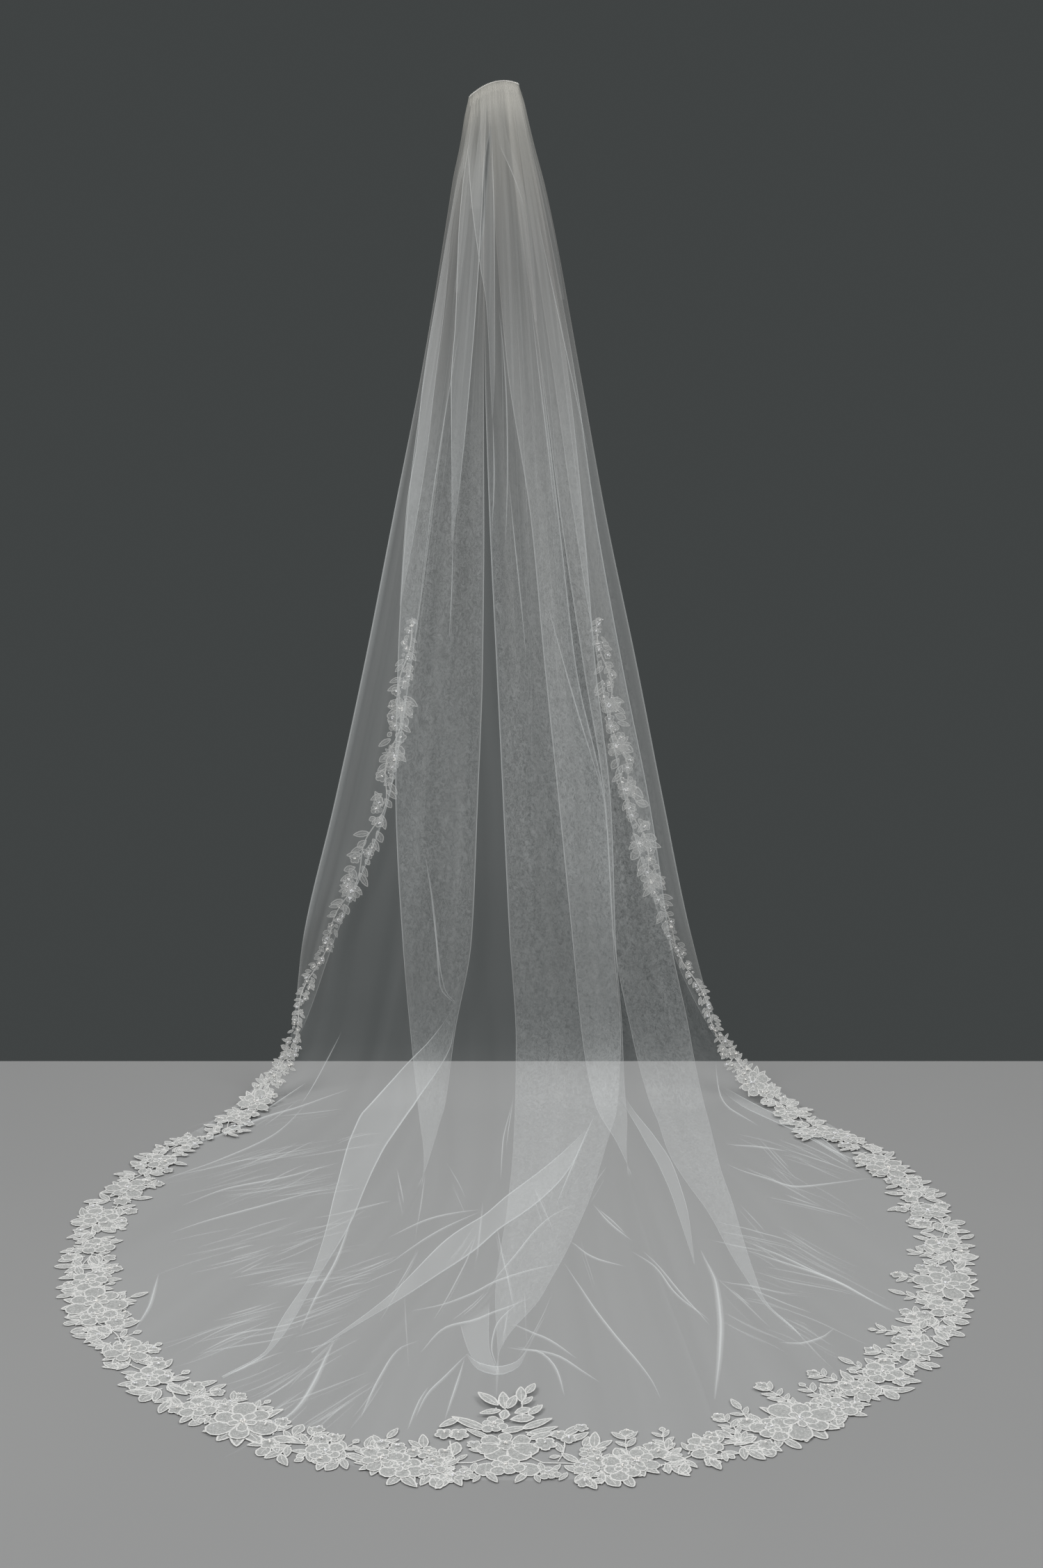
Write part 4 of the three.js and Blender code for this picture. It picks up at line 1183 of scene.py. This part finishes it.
def realized(name, places, tree, motifs):
    """The motifs set on their places, as one plain mesh in the flat plane of x and s."""
    points = bpy.data.meshes.new(name + " places")
    points.from_pydata([place["at"] for place in places], [], [])
    for key, form, store in PLACE_VALUES:
        attribute = points.attributes.new(key, form, "POINT")
        attribute.data.foreach_set(store, np.array([place[key] for place in places]).ravel())
    holder = placed(bpy.data.objects.new(name + " places", points))
    modifier = holder.modifiers.new("layout", "NODES")
    modifier.node_group = tree
    sockets = {item.name: item.identifier for item in tree.interface.items_tree}
    modifier[sockets["Motifs"]] = motifs
    modifier[sockets["Size"]] = 1.0
    holder.update_tag()
    bpy.context.view_layer.update()
    evaluated = holder.evaluated_get(bpy.context.evaluated_depsgraph_get())
    mesh = bpy.data.meshes.new_from_object(evaluated)
    mesh.name = name
    bpy.data.objects.remove(holder)
    return mesh


# Where the bands of lace run
SIDES = {-1: "left", 1: "right"}
PATH_STEP = 0.004
SIDE_LACE_TOP = 0.88  # below the comb
BESIDE_EDGE, INSIDE_FOLD = 11 * MM, 6 * MM  # from the flap's edge, and then from its fold
FLOOR_INSETS = (12, 22, 32, 40, 46)  # in millimetres from the fold, on the floor
TRAIN_LACE_ENDS = (7, 124)  # angles on the train's outline, in degrees
TRAIN_LACE_INSET = 0.045
LACE_LIMIT = 0.985  # as far out as the lace may lie, as a share of the outline's radius


def edge_path(side):
    """Middle line of one side's lace: down the flap, round the corner and on to the floor."""
    edge, fold = (ROUTES[SIDES[side] + end] for end in ("_edge", "_fold"))
    points = []
    for s in np.linspace(SIDE_LACE_TOP, HANG, 30):
        hanging = edge["x"](s) + side * BESIDE_EDGE
        turned = fold["x"](s) - side * INSIDE_FOLD
        points.append((float(mix(hanging, turned, smooth(1.46, 1.62, s))), s))
    floor = np.linspace(HANG + 0.04, fold["end"] + 0.03, len(FLOOR_INSETS))
    for s, inward in zip(floor, FLOOR_INSETS):
        slope = (fold["x"](s + 0.01) - fold["x"](s - 0.01)) / 0.02
        normal = np.array([-side, side * slope]) / math.hypot(1, slope)
        points.append((float(fold["x"](s)) + normal[0] * inward * MM,
                       s + normal[1] * inward * MM))
    return np.array(points)


class Path:
    """A line that gives places along it and beside it."""

    def __init__(self, points):
        self.line = resampled(points, max(4, int(distances(points)[-1] / PATH_STEP)))
        self.keys = distances(self.line)
        self.length = self.keys[-1]

    def at(self, t, aside=0.0):
        """Place t along and aside of the path, and the path's direction there."""
        here, ahead, back = (np.array([np.interp(t + off, self.keys, self.line[:, i])
                                       for i in (0, 1)]) for off in (0, PATH_STEP, -PATH_STEP))
        way = (ahead - back) / max(1e-9, np.hypot(*(ahead - back)))
        side = np.array([-way[1], way[0]])
        return here + side * aside, math.atan2(way[1], way[0])

    def nearest(self, point):
        return float(self.keys[np.argmin(np.hypot(*(self.line - np.array(point)).T))])


class Band:
    """Motifs and stems of one band of lace along a path. inner: the train's side of the path."""

    def __init__(self, path, inner, seed):
        self.path, self.inner = path, inner
        self.draw = np.random.default_rng(seed)
        self.places, self.lines = [], []

    def add(self, at, turn, kind, size, lift=None, wide=None):
        """A motif at a place, sized along and across, lifted in millimetres."""
        lift = self.draw.uniform(0.2, 1.5) if lift is None else lift
        self.places.append(dict(at=(at[0], at[1], lift * MM), turn=(0, 0, turn), kind=kind,
                                size=(size, wide or size, 1)))

    def put(self, t, aside, turn, kind, size, lift=None):
        """A motif at t along the path and aside of it in millimetres, turned from its way."""
        at, heading = self.path.at(t, aside * MM)
        self.add(at, heading + turn, kind, size, lift)

    def leaf_to(self, kind, root, tip):
        """A leaf from its root to its tip, on the flat cloth. A stretched one widens less."""
        way = np.array(tip) - np.array(root)
        size = np.hypot(*way) / LENGTHS[kind]
        self.add(root, math.atan2(way[1], way[0]), kind, size,
                 wide=min(size, 0.55 + 0.45 * size))

    def sprig(self, root, tip, size, end, pairs=1):
        """A short stem with leaves in pairs, and one motif at its end."""
        way = tip - root
        angle = math.atan2(way[1], way[0])
        curl = self.draw.uniform(-0.16, 0.16)
        across = np.array([-way[1], way[0]]) * curl
        for pair in range(pairs):
            at = mix(root, tip, (pair + 0.45) / (pairs + 0.3)) - across * 0.5
            for hand in (-1, 1):
                self.add(at, angle + hand * self.draw.uniform(0.55, 1.0), LEAF,
                         size * self.draw.uniform(0.65, 0.95))
        self.add(tip, angle + curl, end, size)
        self.lines.append([root, mix(root, tip, 0.5) - across, tip])

    def spray(self, t, aside, turn, reach, size, end):
        """A sprig from t along the path, in a direction turned from the path's."""
        root, heading = self.path.at(t, aside * MM)
        way = np.array([math.cos(heading + turn), math.sin(heading + turn)])
        self.sprig(root, root + way * reach * MM, size, end)

    def finger(self, tip):
        """A long sprig that reaches from the vine out over the tulle to a tip."""
        tip = np.array(tip)
        root = self.path.at(self.path.nearest(tip) + self.draw.uniform(-18, 18) * MM)[0]
        long = np.hypot(*(tip - root))
        kind = (BLOSSOM, LEAF, BLOSSOM, BUD)[len(self.lines) % 4]
        self.sprig(root, mix(tip, root, 0.25), 0.8, kind, max(1, int(long / (22 * MM))))

    def flower(self, t, size):
        """A main flower with long leaves round it."""
        inner = self.inner
        self.put(t, inner * 5, self.draw.uniform(0, 1), FLOWER, size, 2.6)
        for turn in (0.45, 1.15, 1.9, 2.65):
            self.put(t, 0, inner * turn, LONG, size * self.draw.uniform(1.0, 1.3))
        for turn in (-0.35, -0.95, -1.6, -2.2, -2.8):
            self.put(t, 0, inner * turn, LEAF, size * self.draw.uniform(1.35, 1.65))

    def vine(self, start, stop, scale, step=9):
        """A light vine on the hanging edge: leaves and small blossoms by turns."""
        draw, t, number = self.draw, start, 0
        while t < stop:
            k, hand = scale(t), (-1, 1)[number % 2]
            kind = (LEAF, BROAD, BLOSSOM, LEAF, ROSE, LEAF, BUD, BLOSSOM, LEAF, BROAD,
                    LEAF)[number % 11]
            aside = hand * draw.uniform(3, 9) * k
            turn = hand * draw.uniform(0.5, 1.1) + (math.pi if number % 5 == 3 else 0)
            if kind == BLOSSOM:
                aside *= 1.8
            size = k * draw.uniform(0.8, 1.1) * (0.5 if kind == ROSE else 1)
            self.put(t, aside, turn, kind, size, 0.8)
            t += step * k * MM * draw.uniform(0.8, 1.2)
            number += 1

    def dress(self, scale, flowers, start=0.0, step=27):
        """Sprays to both sides of the vine, longer ones inwards, and small blossoms between."""
        inner, draw = self.inner, self.draw
        for t, size in flowers:
            self.flower(t, size)
        t, number = start, 0
        while t < self.path.length:
            k = scale(t)
            apart = min([1.0] + [abs(t - f) / (34 * MM * size) for f, size in flowers])
            out = -inner * math.pi / 2
            if apart == 1.0:
                self.spray(t, -inner * 5 * k, out + draw.uniform(-0.5, 0.5), 11 * k, 0.95 * k,
                           (LEAF, BROAD, LEAF, BUD)[number % 4])
                self.put(t, inner * 4 * k, draw.uniform(-0.5, 0.5) + math.pi * (number % 2),
                         (BROAD, LEAF)[number % 2], 0.95 * k)
                self.put(t, -inner * draw.uniform(14, 28) * k, draw.uniform(0, 6),
                         (BLOSSOM, BUD, LEAF)[number % 3], 0.95 * k)
            reach = (16, 30, 12, 34, 22, 26)[number % 6] * draw.uniform(0.85, 1.15)
            end = (LEAF, BLOSSOM, BROAD, BLOSSOM, LEAF, BUD)[number % 6]
            self.spray(t + 8 * k * MM, inner * 3 * k, -out + draw.uniform(-0.6, 0.6), reach * k,
                       0.85 * k, end)
            if number % 4 == 2 and apart == 1.0:
                self.put(t + 4 * MM, inner * draw.uniform(-6, 12) * k, draw.uniform(0, 6), ROSE,
                         0.9 * k, 2.0)
            if number % 3 == 1:
                self.put(t, inner * draw.uniform(10, 26) * k, 0.0, BLOSSOM, 1.1 * k, 1.8)
            t += max(step * k, 10) * MM * draw.uniform(0.85, 1.15)
            number += 1
        self.lines.append([self.path.at(t, inner * 9 * scale(t) * MM * math.sin(t * 42))[0]
                           for t in np.arange(0, self.path.length, 0.012)])

    def hearts(self):
        """Places of the flowers' hearts, for the beads."""
        return [(*place["at"][:2], place["kind"]) for place in self.places
                if place["kind"] in (FLOWER, ROSE, BLOSSOM)]

    def flat_parts(self, name, tree, motifs):
        shell = Shell("cord")
        for line in self.lines:
            stem_line(shell, line, STEM_CORD, max(4, len(line)))
        return [realized(name, self.places, tree, motifs), shell.mesh(name + " stems")]


def lying(s):
    """0 where the side lace hangs behind its flap, 1 where it has come round to the front."""
    return smooth(1.47, 1.62, s)


def lace_height(x, s):
    """Underside of the lace: behind the flaps on the hang, on top of the cloth on the floor."""
    behind = 0.3 * MM
    over = rest_height(s) + pitch_at(s) + TULLE + CLEAR
    tucked = np.clip((angle_at(x, s) - 98) / 27, 0, 1)
    on_floor = TULLE + CLEAR + pitch_at(s) * tucked
    return mix(mix(behind, over, lying(s)), on_floor, smooth(HANG + BEND, HANG + BEND + 0.08, s))


def within_hem(x, s):
    """Lace on the floor, with tips that would pass the veil's outline drawn back to it."""
    radius = np.maximum(radius_at(x, s), 1e-6)
    beyond = np.maximum(radius - LACE_LIMIT, 0) * (1 - smooth(112, 124, angle_at(x, s)))
    k = (radius - beyond + 0.028 * np.tanh(beyond / 0.028)) / radius
    return TRAIN["x"] + (x - TRAIN["x"]) * k, TRAIN["s"] + (s - TRAIN["s"]) * k


def corded_points(mesh):
    """A lace mesh's points, and which of them are on its cord."""
    points, cord = np.zeros((len(mesh.vertices), 3)), np.zeros(len(mesh.vertices))
    mesh.vertices.foreach_get("co", points.ravel())
    mesh.attributes["cord"].data.foreach_get("value", cord)
    return points, cord


def lace_piece(name, band, tree, motifs, material, nodes):
    """Carries a band of flat lace on to the veil, as one piece. Also gives its flowers' hearts."""
    shell = Shell("cord", "body")
    for mesh in band.flat_parts(name, tree, motifs):
        points, cord = corded_points(mesh)
        x, s, up = points.T
        x, s = within_hem(x, s)
        hanging = 1 - lying(s)
        height = lace_height(x, s) + mix(0.6 * up + ripple(x, s), 0.25 * up, hanging)
        faces = [tuple(face.vertices)[::-1] for face in mesh.polygons]
        shell.add(on_sheet(x, s, height), faces, cord=cord, body=1 - 0.66 * hanging)
    return piece(shell, name, material, "lace", *nodes), band.hearts()


# Main flowers of each side, by the photograph's pixels, with their sizes
TRAIN_FLOWERS = {
    -1: {"upper": ((174, 1709), 0.75), "side": ((129, 1877), 1.0), "low": ((172, 1950), 0.7),
         "front": ((344, 2050), 1.05), "inner": ((553, 2092), 0.62)},
    1: {"turn": ((1187, 1610), 0.55), "upper": ((1290, 1680), 0.75), "bend": ((1352, 1743), 0.6),
        "side": ((1337, 1847), 1.0), "low": ((1293, 1935), 0.75), "curve": ((1207, 1990), 0.6),
        "front": ((1117, 2023), 1.05), "inner": ((910, 2090), 0.62)},
}
SIDE_FLOWERS = {
    -1: {"high": ((572, 1028), 0.42), "middle": ((564, 1096), 0.34), "low": ((508, 1295), 0.36),
         "corner": ((363, 1584), 0.66)},
    1: {"high": ((880, 1022), 0.34), "upper": ((887, 1084), 0.4), "middle": ((901, 1146), 0.36),
        "lower": ((920, 1225), 0.4), "low": ((938, 1280), 0.4), "corner": ((1083, 1556), 0.6)},
}

# Tips of the long sprigs that reach in over the tulle, by the photograph's pixels
FINGERS = {
    -1: [(242, 1703), (182, 1768), (182, 1826), (206, 1862), (192, 1890), (237, 1932),
         (247, 1983), (312, 1997), (360, 2002), (396, 2011), (463, 2050), (565, 2060)],
    1: [(1230, 1673), (1285, 1738), (1315, 1760), (1298, 1797), (1265, 1832), (1284, 1858),
        (1288, 1882), (1237, 1910), (1238, 1937), (1213, 1957), (1148, 1967), (1140, 1987),
        (1073, 1982), (1050, 2017), (1023, 2027), (948, 2048), (897, 2048)],
}


def flower_places(path, flowers):
    """Main flowers as their places along a path, with their sizes."""
    return [(path.nearest(under_pixel(*pixel)), size) for pixel, size in flowers.values()]


def side_lace(side, tree, motifs, material):
    path = Path(edge_path(side))
    band = Band(path, side, SEEDS["side_lace"] + side)
    turn = float(path.keys[np.argmin(np.abs(path.line[:, 1] - HANG))])

    def scale(t):
        s = path.at(t)[0][1]
        top = smooth(SIDE_LACE_TOP, 1.02, s)
        hanging = mix(0.35, 0.8, top) * mix(1, 0.5, smooth(1.3, 1.5, s))
        on_floor = mix(0.42, 0.85, smooth(HANG + 0.02, HANG + 0.2, s))
        return float(mix(hanging, on_floor, smooth(1.5, HANG, s)))

    band.vine(0.0, turn, scale)
    band.dress(scale, flower_places(path, SIDE_FLOWERS[side]), turn)
    name = f"lace_{SIDES[side]}_"
    nodes = [name + part for part in ("upper", "middle", "lower", "turn", "corner")]
    return lace_piece(name + "side", band, tree, motifs, material, nodes)


def train_lace(side, tree, motifs, material):
    """Lace on one half of the train, from the medallion round to the corner."""
    angles = np.linspace(side * TRAIN_LACE_ENDS[0], side * TRAIN_LACE_ENDS[1], 60)
    path = Path(np.stack(outline(angles, TRAIN_LACE_INSET), axis=1))
    band = Band(path, -side, SEEDS["train_lace"] + side)

    def scale(t):
        narrow = smooth(path.length - 0.3, path.length, t)
        return float(1.05 - 0.3 * narrow + 0.1 * math.sin(t * 31))

    band.dress(scale, flower_places(path, TRAIN_FLOWERS[side]))
    for tip in on_cloth(FINGERS[side]):
        band.finger(tip)
    numbers = range(1, 5) if side < 0 else range(5, 10)
    nodes = [f"lace_train_{number}" for number in numbers]
    return lace_piece(f"lace_{SIDES[side]}_train", band, tree, motifs, material, nodes)


# The medallion at the front, by the photograph's pixels: leaves from root to tip, blooms with
# their sizes, and stems
MEDALLION_LEAVES = [
    (LEAF, (716, 2028), (688, 2009)), (LEAF, (726, 2032), (723, 2009)),
    (LEAF, (730, 2032), (742, 2014)), (LEAF, (750, 2022), (749, 2001)),
    (LEAF, (757, 2011), (769, 1996)), (LEAF, (750, 2026), (766, 2015)),
    (LEAF, (760, 2039), (780, 2026)), (LEAF, (720, 2034), (690, 2038)),
    (BROAD, (740, 2038), (762, 2031)), (BROAD, (734, 2046), (768, 2042)),
    (BUD, (724, 2046), (727, 2034)), (LONG, (698, 2059), (650, 2042)),
    (LEAF, (660, 2044), (632, 2055)), (LONG, (702, 2070), (670, 2058)),
    (LONG, (752, 2058), (794, 2043)), (LONG, (758, 2066), (802, 2054)),
    (LEAF, (722, 2062), (756, 2056)), (LEAF, (762, 2072), (796, 2062)),
    (PETAL, (726, 2080), (706, 2101)), (PETAL, (732, 2080), (756, 2101)),
    (PETAL, (724, 2080), (686, 2088)), (PETAL, (734, 2080), (773, 2090)),
    (PETAL, (722, 2079), (694, 2070)), (PETAL, (734, 2079), (760, 2069)),
    (PETAL, (728, 2078), (726, 2064)),
    (PETAL, (718, 2106), (686, 2121)), (PETAL, (740, 2106), (773, 2121)),
    (LEAF, (700, 2119), (715, 2134)), (LEAF, (757, 2119), (741, 2134)),
    (BROAD, (650, 2096), (657, 2076)), (LEAF, (656, 2102), (672, 2094)),
    (LEAF, (692, 2084), (672, 2076)), (LEAF, (692, 2090), (674, 2086)),
    (BROAD, (806, 2096), (790, 2098)), (LEAF, (808, 2090), (800, 2076)),
    (LEAF, (822, 2074), (846, 2062)), (LEAF, (812, 2066), (836, 2051)),
    (LEAF, (840, 2082), (846, 2068)), (LEAF, (854, 2084), (856, 2061)),
    (LEAF, (858, 2084), (880, 2073)), (LEAF, (856, 2090), (872, 2084)),
    (LEAF, (610, 2084), (608, 2065)), (LEAF, (606, 2084), (588, 2073)),
    (LEAF, (606, 2090), (592, 2082)), (LEAF, (648, 2108), (634, 2096)),
    (LEAF, (640, 2120), (654, 2110)), (LEAF, (676, 2118), (664, 2110)),
    (LEAF, (684, 2106), (678, 2120)), (LEAF, (776, 2106), (782, 2120)),
    (LEAF, (794, 2118), (806, 2108)), (LEAF, (812, 2110), (836, 2121)),
    (LEAF, (856, 2112), (884, 2118)), (LEAF, (598, 2108), (580, 2120)),
    (LEAF, (640, 2122), (654, 2132)), (LEAF, (690, 2124), (680, 2134)),
    (LEAF, (770, 2122), (776, 2134)), (LEAF, (816, 2120), (804, 2131)),
    (LEAF, (600, 2118), (610, 2130)), (LEAF, (856, 2116), (848, 2128)),
]
MEDALLION_BLOOMS = [
    (ROSE, (710, 2054), 0.62), (ROSE, (728, 2111), 0.8), (BLOSSOM, (728, 2081), 1.0),
    (BLOSSOM, (638, 2065), 1.0), (BLOSSOM, (660, 2066), 1.1), (BLOSSOM, (784, 2079), 1.3),
    (BLOSSOM, (804, 2066), 0.9), (BLOSSOM, (818, 2072), 0.9), (BLOSSOM, (836, 2056), 0.8),
    (BLOSSOM, (682, 2080), 0.8), (BLOSSOM, (594, 2092), 0.9), (BLOSSOM, (572, 2084), 1.0),
    (ROSE, (668, 2124), 0.5), (ROSE, (790, 2122), 0.5), (ROSE, (620, 2114), 0.62),
    (ROSE, (842, 2112), 0.6), (ROSE, (616, 2092), 0.5), (ROSE, (847, 2090), 0.5),
]
MEDALLION_STEMS = [
    [(896, 2105), (860, 2108), (824, 2106), (800, 2106), (772, 2105), (762, 2097)],
    [(560, 2106), (588, 2110), (610, 2110), (640, 2106), (688, 2105), (702, 2098)],
    [(647, 2074), (650, 2090), (656, 2104)], [(812, 2070), (812, 2086), (802, 2104)],
    [(700, 2106), (700, 2116), (703, 2124)], [(754, 2106), (758, 2112), (752, 2124)],
    [(728, 2080), (750, 2088), (766, 2092)], [(752, 2046), (750, 2028), (757, 2011)],
    [(756, 2062), (800, 2068), (846, 2062)],
]


def medallion(tree, motifs, material):
    """The symmetric medallion, placed motif by motif and not along a path."""
    band = Band(None, 0, SEEDS["medallion"])
    for kind, root, tip in MEDALLION_LEAVES:
        band.leaf_to(kind, under_pixel(*root), under_pixel(*tip))
    for kind, place, size in MEDALLION_BLOOMS:
        band.add(under_pixel(*place), 0.3, kind, size, 2.2)
    band.lines += [on_cloth(line) for line in MEDALLION_STEMS]
    return lace_piece("lace_front_medallion", band, tree, motifs, material, ["lace_medallion"])


# The beads
def bead_shape():
    """A bead as a ball of 20 faces: its corners and its faces, all outwards."""
    golden = (1 + math.sqrt(5)) / 2
    signs = list(itertools.product((-1, 1), (-golden, golden)))
    corners = np.array([(0, a, b) for a, b in signs] + [(a, b, 0) for a, b in signs]
                       + [(b, 0, a) for a, b in signs])
    corners /= np.linalg.norm(corners[0])
    faces = []
    for i, j, k in itertools.permutations(range(12), 3):
        edges = [np.linalg.norm(corners[a] - corners[b]) for a, b in ((i, j), (j, k), (k, i))]
        normal = np.cross(corners[j] - corners[i], corners[k] - corners[i])
        if i == min(i, j, k) and max(edges) < 1.1 and normal @ corners[i] > 0:
            faces.append((i, j, k))
    return corners, faces


def seed_beads(lace_pieces, material):
    """Beads sewn in the flowers' hearts and scattered along the cord."""
    shell = Shell()
    draw = np.random.default_rng(SEEDS["beads"])
    corners, faces = bead_shape()
    for made, hearts in lace_pieces:
        for x, s, kind in hearts:
            count, spread = (8, 5) if kind == FLOWER else (3, 3)
            for _ in range(count):
                radius = draw.uniform(1.0, 1.6) * MM
                turn, far = draw.uniform(0, 6.3), draw.uniform(0, spread) * MM
                height = lace_height(x, s) + ripple(x, s) + mix(1.2, 4.6, lying(s)) * MM
                at = on_sheet(x + far * math.cos(turn), s + far * math.sin(turn), height)
                shell.add(at + corners * radius, faces)
        points, cord = corded_points(made.data)
        for pick in draw.choice(np.flatnonzero(cord > 0.9), len(points) // 260, replace=False):
            radius = draw.uniform(0.8, 1.2) * MM
            shell.add(points[pick] + corners * radius + [0, 0, 0.4 * MM], faces)
    piece(shell, "seed_beads", material, "beads")


def lace(material, beads):
    motifs = lace_motifs(material)
    tree = layout_tree(material)
    made = [dress(side, tree, motifs, material) for dress in (side_lace, train_lace)
            for side in SIDES]
    seed_beads(made + [medallion(tree, motifs, material)], beads)
    for motif_object in list(motifs.objects):
        bpy.data.objects.remove(motif_object)
    bpy.data.collections.remove(motifs)


# Floor, light and camera. Each lamp has its place, its size and its power in watts.
LAMPS = (("key", (-2.2, -2.3, 2.4), 2.4, 120), ("fill", (2.4, -2.2, 2.0), 2.6, 75),
         ("back", (0.5, 2.2, 2.2), 2.0, 25))
LIT_PLACE = (0, -0.4, -1.1)
FLOOR_SIDE = 7.0
FLOOR_BACK = 0.12


def studio():
    shader = Shader("floor", Roughness=0.9)
    cloudy = shader.noise(shader.place(1.3, 1.3, 1.3), detail=3)
    material = shader.finish(Base_Color=shader.blend(cloudy, FLOOR_DARK, FLOOR_LIGHT))
    mesh = bpy.data.meshes.new("floor")
    mesh.from_pydata([(x, y, -COMB_HEIGHT) for x, y in (
        (-FLOOR_SIDE, -FLOOR_SIDE), (FLOOR_SIDE, -FLOOR_SIDE),
        (FLOOR_SIDE, FLOOR_BACK), (-FLOOR_SIDE, FLOOR_BACK))], [], [(0, 1, 2, 3)])
    mesh.materials.append(material)
    placed(bpy.data.objects.new("floor", mesh))
    world = bpy.data.worlds.new("studio")
    sky = Nodes(world)
    lit, output = sky.tree.nodes["Background"], sky.tree.nodes["World Output"]
    sky.link(SKY, lit.inputs["Color"])
    sky.link(SKY_STRENGTH, lit.inputs["Strength"])
    seen = sky.node("LightPath", {})
    backdrop = sky.node("Background", {}, {"Color": BACKDROP})
    both = sky.node("MixShader", {}, [seen, Value(sky, lit.outputs[0]), backdrop])
    sky.link(both, output.inputs[0])
    bpy.context.scene.world = world
    for name, place, size, power in LAMPS:
        lamp = bpy.data.lights.new(name, "AREA")
        lamp.size, lamp.energy = size, power
        made = placed(bpy.data.objects.new(name, lamp))
        made.location = place
        aim = Vector(LIT_PLACE) - Vector(place)
        made.rotation_euler = aim.to_track_quat("-Z", "Y").to_euler()


def camera():
    lens = bpy.data.cameras.new("camera")
    lens.sensor_fit = "VERTICAL"
    lens.sensor_height = SENSOR_HIGH
    lens.lens = LENS
    made = placed(bpy.data.objects.new("camera", lens))
    made.location = CAMERA_AT
    made.rotation_euler = (math.pi / 2 - CAMERA_PITCH, 0, 0)
    bpy.context.scene.camera = made


camera()
studio()
HEADING_FINISH = heading_material()
tulle_veil(tulle_material())
hair_comb(comb_material())
thread_binding(HEADING_FINISH)
gathered_heading(HEADING_FINISH)
lace(lace_material(), bead_material())
bpy.context.scene.view_settings.view_transform = "Standard"
bpy.context.scene.cycles.transparent_max_bounces = 48
